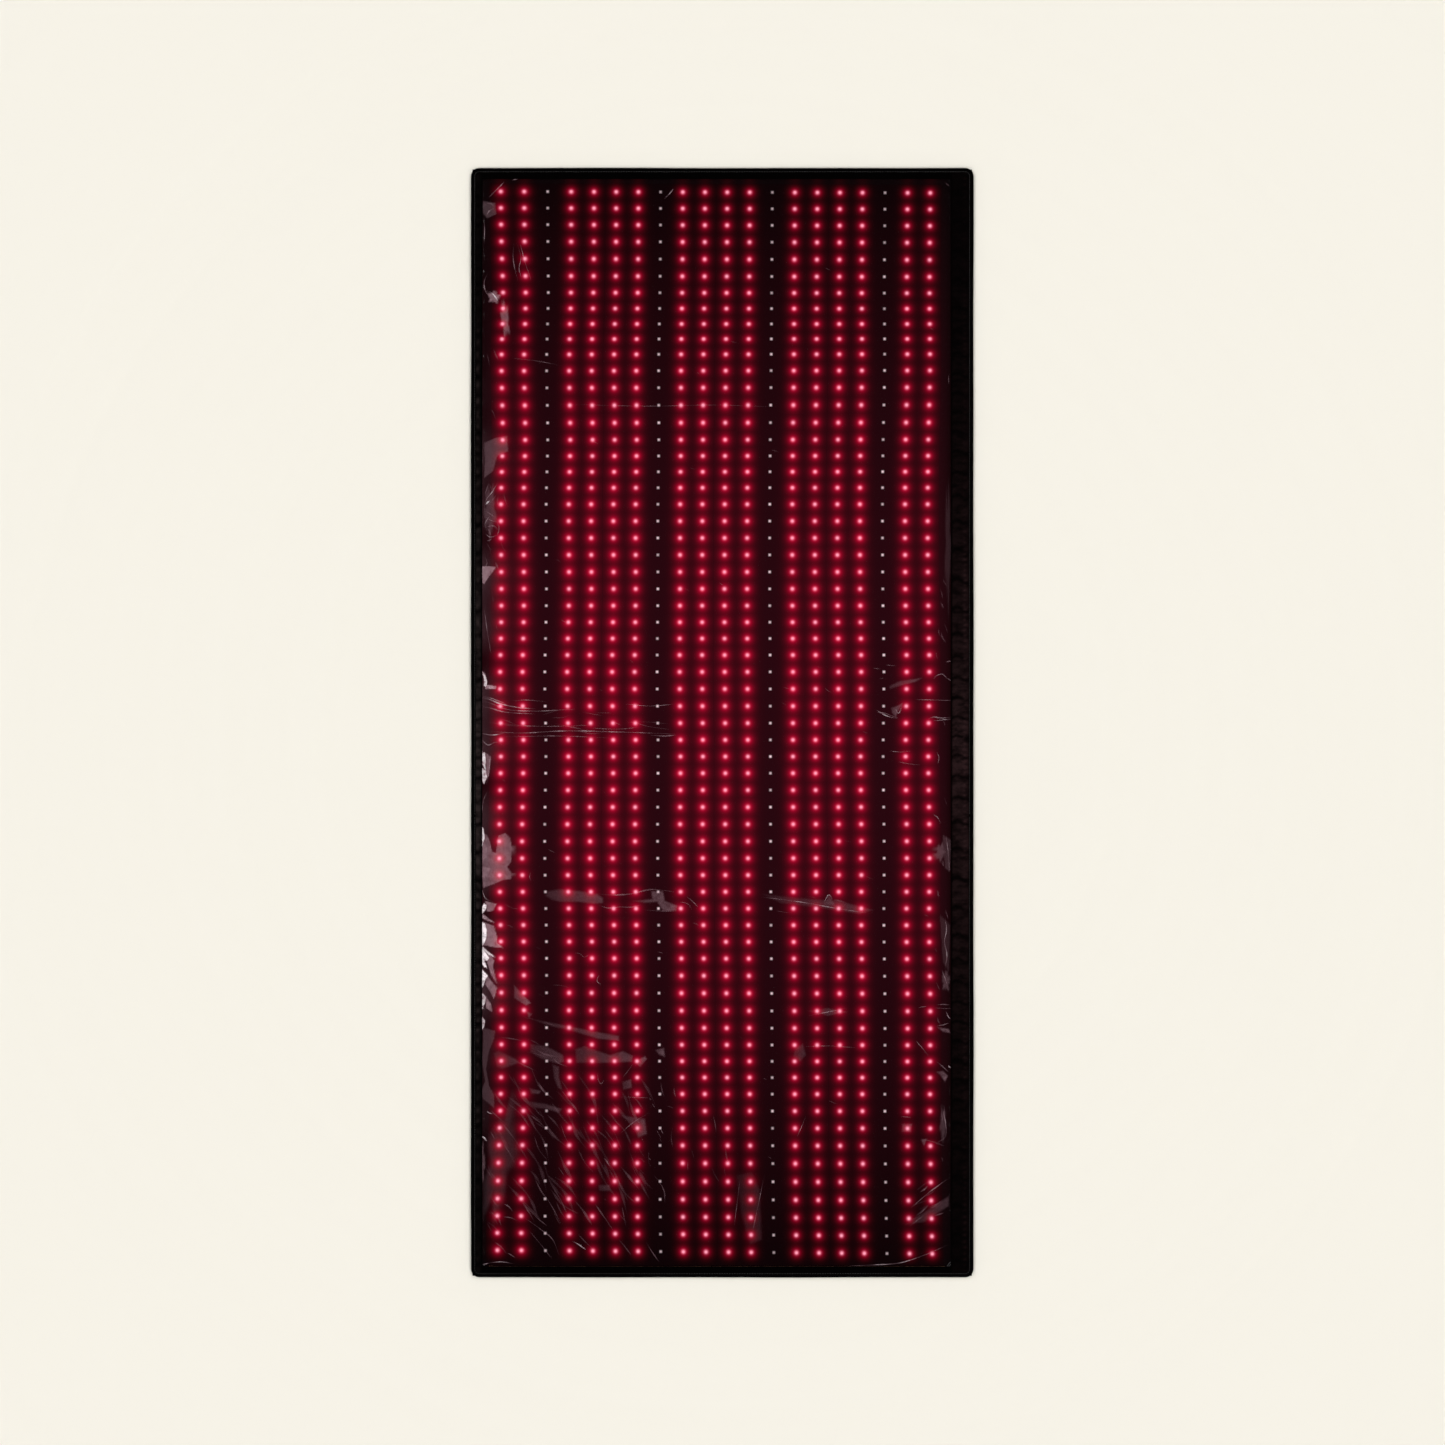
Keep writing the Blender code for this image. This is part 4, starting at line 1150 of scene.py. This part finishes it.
def add_film(half):
    head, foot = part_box("window_film_head"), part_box("window_film_foot")
    left, right = head[0].x, head[1].x
    xs = np.unique(np.concatenate([
        [left], steps(WINDOW_LEFT - MM, WINDOW_LEFT + GATHERED, FILM_STEP),
        steps(WINDOW_LEFT + GATHERED, WINDOW_LEFT + CREASED, CREASED_STEP),
        steps(WINDOW_LEFT + CREASED, WINDOW_RIGHT - CREASED_RIGHT, PLAIN_STEP),
        steps(WINDOW_RIGHT - CREASED_RIGHT, WINDOW_RIGHT + MM, CREASED_STEP), [right],
    ]).round(6))
    ys = lines_along(half, LENGTH_STEP, foot[0].y, head[1].y)
    piece, used = new_lattice(f"window_film_{half}", xs, ys, finishes["film"], film_height, crease=80)
    x, y = np.meshgrid(xs, ys)
    give(piece, used, "milk", film_milk(x, y).ravel())
    bend(piece, half, *both_panels("window_film_{}", half), slot="film")


def all_creases():
    """Each crease's stops, width, strength and rise."""
    for stops, width, strength in CREASES:
        yield stops, width, strength, CREASE_RISE * min(1, CREASE_WIDTH / width)
    draw = np.random.RandomState(STREAK_SEED)
    for low, high, run, count, width, strength in STREAKS:
        for _ in range(count):
            start = draw.uniform(low, high)
            turn, grow, bow, size, light = draw.uniform(*STREAK_VARIES)
            c, s = math.cos(turn), math.sin(turn)
            reach = grow * np.array([run[0] * c - run[1] * s, run[0] * s + run[1] * c])
            side = bow * np.array([-reach[1], reach[0]])
            stops = (start, start + reach / 2 + side, start + reach)
            yield stops, width * size, strength * light, STREAK_RISE


def crease_tube(stops, width, strength, rise):
    """A pinched ridge of film along some stops, as points, faces and the milk of each point, which holds its
    painted highlight.
    """
    x, y = photo(*np.array(stops, float).T)
    along = along_route(np.column_stack([x, y]))
    at = steps(0, along[-1], CREASE_STEP)
    px = through(list(zip(along, x)), at)
    py = through(list(zip(along, y)), at)
    t = at / along[-1]
    dx, dy = np.gradient(px, at), np.gradient(py, at)
    size = np.hypot(dx, dy)
    side = np.stack([-dy / size, dx / size], axis=1)
    swell = (np.sin(math.pi * np.clip(t, 0.02, 0.98)) ** 0.6) * (
        0.72 + 0.28 * np.sin(at / (7 * MM) + x[0] * 900)
    )
    reach = width / 2 * MM * swell
    ridge = [(across, share * rise) for across, share in CREASE_SHARES]
    section = [(-1, CREASE_SUNK), *ridge, (1, CREASE_SUNK)]
    points, milk = [], []
    base = film_height(px, py)
    for across, lift in section:
        place = np.stack([px, py], axis=1) + side * (across * reach)[:, None]
        points.append(np.column_stack([place, base + lift * MM * swell ** 0.5]))
        milk.append(strength * swell * (1 - 0.45 * abs(across)))
    return np.concatenate(points), np.concatenate(milk), *tube(len(at), len(section))


def sheen_patch(outline, strength, soft):
    """A flat creased spot of film with a painted sheen, as points, faces and the milk of each point, which
    holds that painted sheen.
    """
    px, py = photo(*np.array(outline, float).T)
    strength, soft = SHEEN_LEVEL * strength, SHEEN_SOFTER * soft * MM
    xs, ys = (steps(p.min() - soft, p.max() + soft, SHEEN_STEP) for p in (px, py))

    def milk(x, y):
        # the painted sheen grows from faint on the left to full on the right
        along = (x - px.min()) / (px.max() - px.min())
        growing = SHEEN_FAINT + (1 - SHEEN_FAINT) * along
        return strength * growing * ease(depth_in(outline, x, y), -soft / 2, soft)

    points, faces = lattice(
        xs, ys, lambda x, y: film_height(x, y) + SHEEN_LIFT, lambda x, y: film_height(x, y) + SHEEN_LIFT / 2,
        lambda x, y: milk(x, y) > 0,
    )
    return points, milk(points[:, 0], points[:, 1]), faces


def add_pinches(half):
    """The film's creases, streaks and sheens, which carry painted highlights and reflections."""
    points, milk, faces, caps, count = [], [], [], [], 0
    low, high = HALVES[half]["span"]
    shapes = [(outline, sheen_patch, (outline, *rest)) for outline, *rest in SHEENS]
    shapes += [(stops, crease_tube, (stops, *rest)) for stops, *rest in all_creases()]
    for stops, make, settings in shapes:
        if low < photo(*stops[0])[1] < high:
            shape, amounts, quads, *ends = make(*settings)
            points.append(shape)
            milk.append(amounts)
            faces.append(quads + count)
            caps += [end + count for end in ends]
            count += len(shape)
    piece, used = new_piece(
        f"film_pinches_{half}", np.concatenate(points), [np.concatenate(faces), np.concatenate(caps)],
        finishes["pinched_film"], crease=80,
    )
    give(piece, used, "milk", np.concatenate(milk))
    bend(piece, half, *both_panels("window_film_{}", half), slot="film")


PAINTED_LIGHT_AT, PAINTED_LIGHT_FADE = -59 * MM, 300 * MM  # painted light on the side borders is strongest here, and fades this fast
PUCKER_PITCH = 14.5 * MM
PUCKER_HIGHLIGHTS_IN = 0.7 * MM  # how far in from the crest the row of painted pucker highlights is
# Each side's border: its way in, the crest of its puckers with their width and rise, the pitch and width of
# its row of painted pucker highlights, and how strong the painted light on its plain cloth and on those
# highlights is
BORDERS = {
    "left": {"way": 1, "seed": 0.6, "crest": 7.6 * MM, "broad": 2.8 * MM, "rise": 0.42 * MM,
             "pitch": 19 * MM, "wide": 2.4 * MM, "plain": 0.82, "tufts": 1.45},
    "right": {"way": -1, "seed": 1.9, "crest": 10.5 * MM, "broad": 4.6 * MM, "rise": 0.60 * MM,
              "pitch": 8.7 * MM, "wide": 2.8 * MM, "plain": 0.64, "tufts": 0.95},
}


HEM_ROUND, HEM_REACH = 0.30 * MM, 0.9 * MM


def hem(distance):
    """How much a cloth edge is rounded off, by the distance in from it."""
    return HEM_ROUND * (1 - ease(distance, 0, HEM_REACH))


def add_side_border(side, half):
    form = BORDERS[side]
    seed, crest, rise = form["seed"], form["crest"], form["rise"]
    head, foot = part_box(f"side_border_{side}_head"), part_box(f"side_border_{side}_foot")
    outer, inner = (corner.x for corner in head[::form["way"]])
    inward = np.abs(outer - inner)
    across = np.unique(np.concatenate([
        steps(0, 5 * MM, 1.7 * MM), steps(5 * MM, inward - 1.2 * MM, 1.1 * MM),
        inward - np.array([0.9, 0.6, 0.3, 0.0]) * MM,
    ]).round(7))
    xs = np.sort(outer + form["way"] * across)
    ys = lines_along(half, 1.8 * MM, foot[0].y, head[1].y)

    def puckers(x, y):
        reach = np.abs(x - outer)
        shape = np.exp(-(((reach - crest) / form["broad"]) ** 2))
        far = ease(reach, 9 * MM, 17 * MM) * (1 - ease(reach, inward - 4 * MM, inward))
        gathers = ripple(y + 0.25 * reach, PUCKER_PITCH, seed)
        bent = 2.5 * np.sin(y / (9.7 * MM)) + 2.2 * np.sin(reach / (1.9 * MM))
        fine = 0.5 + 0.5 * np.sin(y / (1.4 * MM) + bent)
        lumps = ripple(y + 2.1 * MM * np.sin(reach / (2.1 * MM) + y / (37 * MM)), 9.5 * MM, seed + 2)
        folds = rise * shape * gathers * (0.7 + 0.3 * fine) + 0.45 * MM * far * lumps * fine
        calm = ease(np.minimum(HEAD - y, y - FOOT), 14 * MM, 60 * MM)
        return folds * (0.25 + 0.75 * calm)

    def top(x, y):
        ends = np.minimum(y - foot[0].y, head[1].y - y)
        return BORDER_TOP - hem(np.minimum(np.abs(x - inner), ends)) + puckers(x, y)

    def bottom(x, y):
        return BORDER_LOW + 0.85 * puckers(x, y)

    piece, used = new_lattice(f"side_border_{side}_{half}", xs, ys, finishes["border_fabric"], top, bottom,
                              crease=60)
    x, y = np.meshgrid(xs, ys)
    reach = np.abs(x - outer)
    # Painted light on the border cloth: a pool of light strongest near one place along the length
    amid = np.exp(-np.abs(y - PAINTED_LIGHT_AT) / PAINTED_LIGHT_FADE)
    # a row of painted highlights just in from the puckers' crest
    tufts = np.exp(-(((reach - crest - PUCKER_HIGHLIGHTS_IN) / form["wide"]) ** 2))
    tufts = tufts * ripple(y, form["pitch"], seed + 1) ** 2
    # narrow dark stripes across the painted light on the plain cloth
    dark_stripes = np.sin(TURN * (y + 3 * MM * np.sin(reach / (5 * MM))) / (37 * MM) + 3 * np.sin(y / (80 * MM)))
    # the plain cloth's painted light fades out towards the inner edge, a painted shade along it
    plain = form["plain"] * ease(inward - reach, 0.5 * MM, 4 * MM) * (1 - 0.85 * (0.5 + 0.5 * dark_stripes) ** 10)
    # the puckers' crests get a painted highlight too, by their height
    grey = amid * plain + np.sqrt(amid) * form["tufts"] * tufts + 0.6 * amid * (puckers(x, y) / rise) ** 2
    give(piece, used, "grey", np.tile(grey.ravel(), 2))
    bend(piece, half, *both_panels(f"side_border_{side}_{{}}", half), slot="border_fabric")


END_WAVE, END_WAVE_PITCH = 0.14 * MM, 37 * MM


def add_end_border(end):
    low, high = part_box(f"{end}_border")
    way = 1 if end == "head" else -1
    inner = low.y if end == "head" else high.y
    depth = high.y - low.y
    inset = np.unique(np.concatenate([[0, 0.3 * MM, 0.6 * MM, 0.9 * MM], steps(0.9 * MM, depth, 1.8 * MM)]))
    ys = np.sort(inner + way * inset)
    xs = steps(low.x, high.x, 3 * MM)

    def waves(x, y):
        reach = np.abs(y - inner)
        amid = ease(reach, 0, 4 * MM) * (1 - ease(reach, 8 * MM, 14 * MM))
        return END_WAVE * ripple(x, END_WAVE_PITCH, 0.3) * amid

    piece, _ = new_lattice(
        f"{end}_border_cloth", xs, ys, finishes["border_fabric"],
        lambda x, y: BORDER_TOP - hem(np.abs(y - inner)) + waves(x, y),
        lambda x, y: BORDER_LOW + waves(x, y), crease=60,
    )
    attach(piece, f"{end}_panel")
    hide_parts(f"{end}_border")


# The edge tape and its stitches

CORNER_RADIUS = 13 * MM
TAPE_WIDTH = 7.5 * MM
TAPE_THICKNESS = 0.8 * MM
TAPE_BEND = 2.5 * MM
TAPE_STEP = 3.2 * MM
TAPE_SWAY, TAPE_PUCKER = 0.35 * MM, 0.12 * MM
STITCH_INSET = 6.2 * MM
STITCH_PITCH = 4.0 * MM
STITCH_LENGTH = 3.1 * MM
STITCH_RADIUS = 0.28 * MM
STITCH_SIDES = 6
EYELET_RADIUS = 4 * MM
# Rings of a stitch: share of its length, then lift and thickness as shares of its radius
STITCH_SHARES = (0, -0.9, 0.55), (0.18, 0.15, 0.9), (0.5, 0.35, 1), (0.82, 0.15, 0.9), (1, -0.9, 0.55)
SEAM_DIP = 0.14 * MM  # how deep the seam draws the tape in


def rim_route(half, inset, step):
    """Points round the half's rim at an inset from it, and the inward direction at each."""
    way, radius = HALVES[half]["way"], CORNER_RADIUS
    end = HEAD if half == "upper" else FOOT
    straight = lines_along(half, step, FOOT + radius, HEAD - radius)[::way]
    turns = steps(0, math.pi / 2, step / radius)[1:-1]
    legs = []
    for side, edge in ((-1, LEFT), (1, RIGHT)):
        leg = [((edge, y), (-side, 0)) for y in straight]
        for angle in turns:
            x, y = side * math.cos(angle), way * math.sin(angle)
            leg.append(((edge + radius * (x - side), end + radius * (y - way)), (-x, -y)))
        legs.append(leg)
    cross = [((x, end), (0, -way)) for x in steps(LEFT + radius, RIGHT - radius, step)]
    places, inward = np.array(legs[0] + cross + legs[1][::-1], float).transpose(1, 0, 2)
    return places + inset * inward, inward


def tape_profile():
    """The closed section of the tape, as insets from the edge and heights: outside first, then inside."""
    middle = (TAPE_TOP + TAPE_LOW) / 2

    def turn(radius, corner, start):
        angles = [start + math.pi / 2 * k / 5 for k in range(6)]
        return [(TAPE_BEND - radius * math.sin(a), corner + radius * math.cos(a)) for a in angles]

    top, low = TAPE_TOP - TAPE_BEND, TAPE_LOW + TAPE_BEND
    outside = [(TAPE_WIDTH, TAPE_TOP - 0.45 * MM), (TAPE_WIDTH - 0.2 * MM, TAPE_TOP - 0.08 * MM)]
    outside += [(STITCH_INSET + 0.5 * MM, TAPE_TOP), (STITCH_INSET, TAPE_TOP - SEAM_DIP)]
    outside += [(STITCH_INSET - 0.6 * MM, TAPE_TOP), (4 * MM, TAPE_TOP)]
    outside += turn(TAPE_BEND, top, 0) + [(0, middle)] + turn(TAPE_BEND, low, math.pi / 2)
    outside += [(STITCH_INSET - 0.6 * MM, TAPE_LOW), (STITCH_INSET, TAPE_LOW + SEAM_DIP)]
    outside += [(STITCH_INSET + 0.5 * MM, TAPE_LOW), (TAPE_WIDTH, TAPE_LOW + 0.1 * MM)]
    inner = TAPE_BEND - TAPE_THICKNESS
    inside = [(TAPE_WIDTH, TAPE_LOW + TAPE_THICKNESS)] + turn(inner, low, math.pi / 2)[::-1]
    inside += turn(inner, top, 0)[::-1] + [(TAPE_WIDTH, TAPE_TOP - TAPE_THICKNESS)]
    return np.array(outside + inside)


def add_tape(half):
    places, inward = rim_route(half, 0.0, TAPE_STEP)
    profile = tape_profile()
    along, around = along_route(places), along_route(profile)
    sway = TAPE_SWAY * np.sin(along / (71 * MM)) * np.sin(along / (190 * MM) + 1)
    pucker = TAPE_PUCKER * (ripple(along, PUCKER_PITCH, 0.6) - 0.5)
    still = ease(np.minimum(along, along[-1] - along), 0, 20 * MM)
    points, uv = [], []
    for k, (inset, height) in enumerate(profile):
        flat = ease(inset, 2.6 * MM, 5 * MM) * (1 if height > TAPE_TOP / 2 else 0)
        edge = places + inward * (inset + sway * still)[:, None]
        points.append(np.column_stack([edge, height + pucker * still * flat]))
        uv.append(np.column_stack([along, around[k] + 0 * along]))
    quads, caps = tube(len(places), len(profile))
    if half == "upper":
        quads, caps = quads[:, [0, 3, 2, 1]], caps[:, ::-1]
    else:
        quads = quads[:, [1, 2, 3, 0]]
    piece, _ = new_piece(
        f"edge_tape_{half}", np.concatenate(points), [quads, caps], finishes["edge_tape"],
        uv=np.concatenate(uv), crease=50,
    )
    if half == "lower":
        cut_eyelet(piece)
    nodes = [name for side in ("left", "right") for name in both_panels(f"side_tape_{side}_{{}}", half)]
    bend(piece, half, *nodes, "head_tape" if half == "upper" else "foot_tape", slot="edge_tape")


def cut_eyelet(tape):
    """The round hole in the foot tape, which the inlet's nose fills."""
    low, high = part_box("inlet_housing")
    middle = Vector(((low.x + high.x) / 2, low.y, (low.z + high.z) / 2))
    bm = bmesh.new()
    size = {"radius1": EYELET_RADIUS, "radius2": EYELET_RADIUS, "depth": 6 * MM}
    bmesh.ops.create_cone(bm, cap_ends=True, segments=40, **size)
    mesh = bpy.data.meshes.new("eyelet")
    bm.to_mesh(mesh)
    bm.free()
    cutter = bpy.data.objects.new("eyelet", mesh)
    cutter.location = middle
    cutter.rotation_euler = (math.pi / 2, 0, 0)
    bpy.context.scene.collection.objects.link(cutter)
    cut = tape.modifiers.new("eyelet", "BOOLEAN")
    cut.operation = "DIFFERENCE"
    cut.object = cutter
    bpy.context.view_layer.update()
    evaluated = tape.evaluated_get(bpy.context.evaluated_depsgraph_get())
    made = bpy.data.meshes.new_from_object(evaluated)
    tape.modifiers.clear()
    tape.data = made
    bpy.data.objects.remove(cutter)


def add_stitches(half):
    places, inward = rim_route(half, STITCH_INSET, MM)
    along = along_route(places)
    starts = np.arange(STITCH_PITCH / 2, along[-1] - STITCH_PITCH / 2, STITCH_PITCH)
    points, sides = [], STITCH_SIDES
    for share, lift, thick in STITCH_SHARES:
        at = starts + share * STITCH_LENGTH
        x, y, out_x, out_y = (np.interp(at, along, row) for row in (*places.T, *inward.T))
        for k in range(sides):
            a = TURN * k / sides
            reach = STITCH_RADIUS * thick * math.cos(a)
            height = STITCH_RADIUS * (lift + thick * math.sin(a))
            points.append(np.column_stack([x + out_x * reach, y + out_y * reach, height + 0 * x]))
    wide = len(points)
    faces = []
    for level in range(0, wide - sides, sides):
        for k in range(sides):
            a, b = level + k, level + (k + 1) % sides
            faces.append([a, b, b + sides, a + sides])
    ends = [list(range(sides))[::-1], list(range(wide - sides, wide))]
    offsets = np.arange(len(starts))[:, None, None] * wide
    for face, level, flip in (("top", TAPE_TOP - SEAM_DIP, 1), ("under", TAPE_LOW + SEAM_DIP, -1)):
        shape = np.transpose(points, (1, 0, 2)).reshape(-1, 3).copy()
        shape[:, 2] = level + flip * shape[:, 2]
        quads = (np.array(faces)[None] + offsets).reshape(-1, 4)
        caps = (np.array(ends)[None] + offsets).reshape(-1, sides)
        if flip * HALVES[half]["way"] == 1:
            quads, caps = quads[:, ::-1], caps[:, ::-1]
        piece, _ = new_piece(f"stitches_{face}_{half}", shape, [quads, caps], finishes["thread"])
        bend(piece, half, slot="thread")


for half_name in HALVES:
    add_back_cover(half_name)
    add_foam(half_name)
    add_boards(half_name)
    add_film(half_name)
    add_pinches(half_name)
    for side_name in BORDERS:
        add_side_border(side_name, half_name)
    add_tape(half_name)
    add_stitches(half_name)
for panel_name in PANEL_ROWS:
    for kind_name in ("red", "infrared"):
        add_diodes(panel_name, kind_name)
for end_name in ("head", "foot"):
    add_end_border(end_name)

KEPT = {
    "bus_positive": "copper", "bus_negative": "copper",
    "lead_positive": "lead_sleeve", "lead_negative": "lead_sleeve",
    "inlet_housing": "inlet_plastic", "inlet_pin": "contact", "inlet_spring": "contact",
}
for node_name, finish_name in KEPT.items():
    slots = frame["nodes"][node_name].data.materials
    slots.clear()
    slots.append(finishes[finish_name])


# Floor, light and camera


FLOOR_SIDE, FLOOR_DEPTH = 40.0, 0.3 * MM


def add_floor():
    bm = bmesh.new()
    bmesh.ops.create_grid(bm, x_segments=1, y_segments=1, size=FLOOR_SIDE / 2)
    mesh = bpy.data.meshes.new("floor")
    bm.to_mesh(mesh)
    bm.free()
    material, tree, shader = new_finish("floor", Roughness=0.9, Specular_IOR_Level=0.0)
    shade = noise(object_place(tree), 3.0, 2.0)
    feed(shader, Base_Color=mixed(shade, CREAM, tuple(0.995 * c for c in CREAM)))
    mesh.materials.append(material)
    floor = bpy.data.objects.new("floor", mesh)
    floor.location.z = -FLOOR_DEPTH
    bpy.context.scene.collection.objects.link(floor)


def add_sky():
    """Even light, and a backdrop that is pale all round and dark overhead."""
    world = bpy.data.worlds.new("studio")
    bpy.context.scene.world = world
    world.use_nodes = True
    tree = world.node_tree
    light = tree.nodes["Background"]
    light.inputs["Color"].default_value = (1, 0.99, 0.975, 1)
    light.inputs["Strength"].default_value = SKY_LIGHT
    backdrop = tree.nodes.new("ShaderNodeBackground")
    backdrop.inputs["Color"].default_value = (*CREAM, 1)
    height = parts_of(node_of(tree, "TexCoord", output=0))[2]
    connect(ramp(height, *BACKDROP_FADE, 1.0, CEILING), backdrop.inputs["Strength"])
    rays = tree.nodes.new("ShaderNodeLightPath")
    seen = Signal(tree, rays.outputs["Is Camera Ray"])
    for kind in ("Is Glossy Ray", "Is Transmission Ray"):
        seen = seen.math("MAXIMUM", Signal(tree, rays.outputs[kind]))
    mix = tree.nodes.new("ShaderNodeMixShader")
    connect(seen, mix.inputs[0])
    tree.links.new(light.outputs[0], mix.inputs[1])
    tree.links.new(backdrop.outputs[0], mix.inputs[2])
    tree.links.new(mix.outputs[0], tree.nodes["World Output"].inputs["Surface"])


def add_lamps():
    for azimuth in LAMP_AZIMUTHS:
        lamp = bpy.data.lights.new("lamp", "SUN")
        lamp.energy = LAMP_POWER
        lamp.angle = math.radians(LAMP_SIZE)
        thing = bpy.data.objects.new("lamp", lamp)
        a, e = math.radians(azimuth), math.radians(LAMP_ELEVATION)
        toward = Vector((math.sin(a) * math.cos(e), math.cos(a) * math.cos(e), math.sin(e)))
        thing.rotation_euler = toward.to_track_quat("Z", "Y").to_euler()
        bpy.context.scene.collection.objects.link(thing)


def add_camera():
    data = bpy.data.cameras.new("camera")
    data.lens, data.sensor_width = LENS, SENSOR
    camera = bpy.data.objects.new("camera", data)
    away = LENS / SENSOR * PHOTO_SIDE * PIXEL
    x, y = photo(PHOTO_SIDE / 2, PHOTO_SIDE / 2)
    camera.location = (float(x), float(y), TAPE_TOP + away)
    data.clip_end = 100
    bpy.context.scene.collection.objects.link(camera)
    bpy.context.scene.camera = camera


add_floor()
add_sky()
add_lamps()
add_camera()
bpy.context.scene.view_settings.view_transform = "Standard"
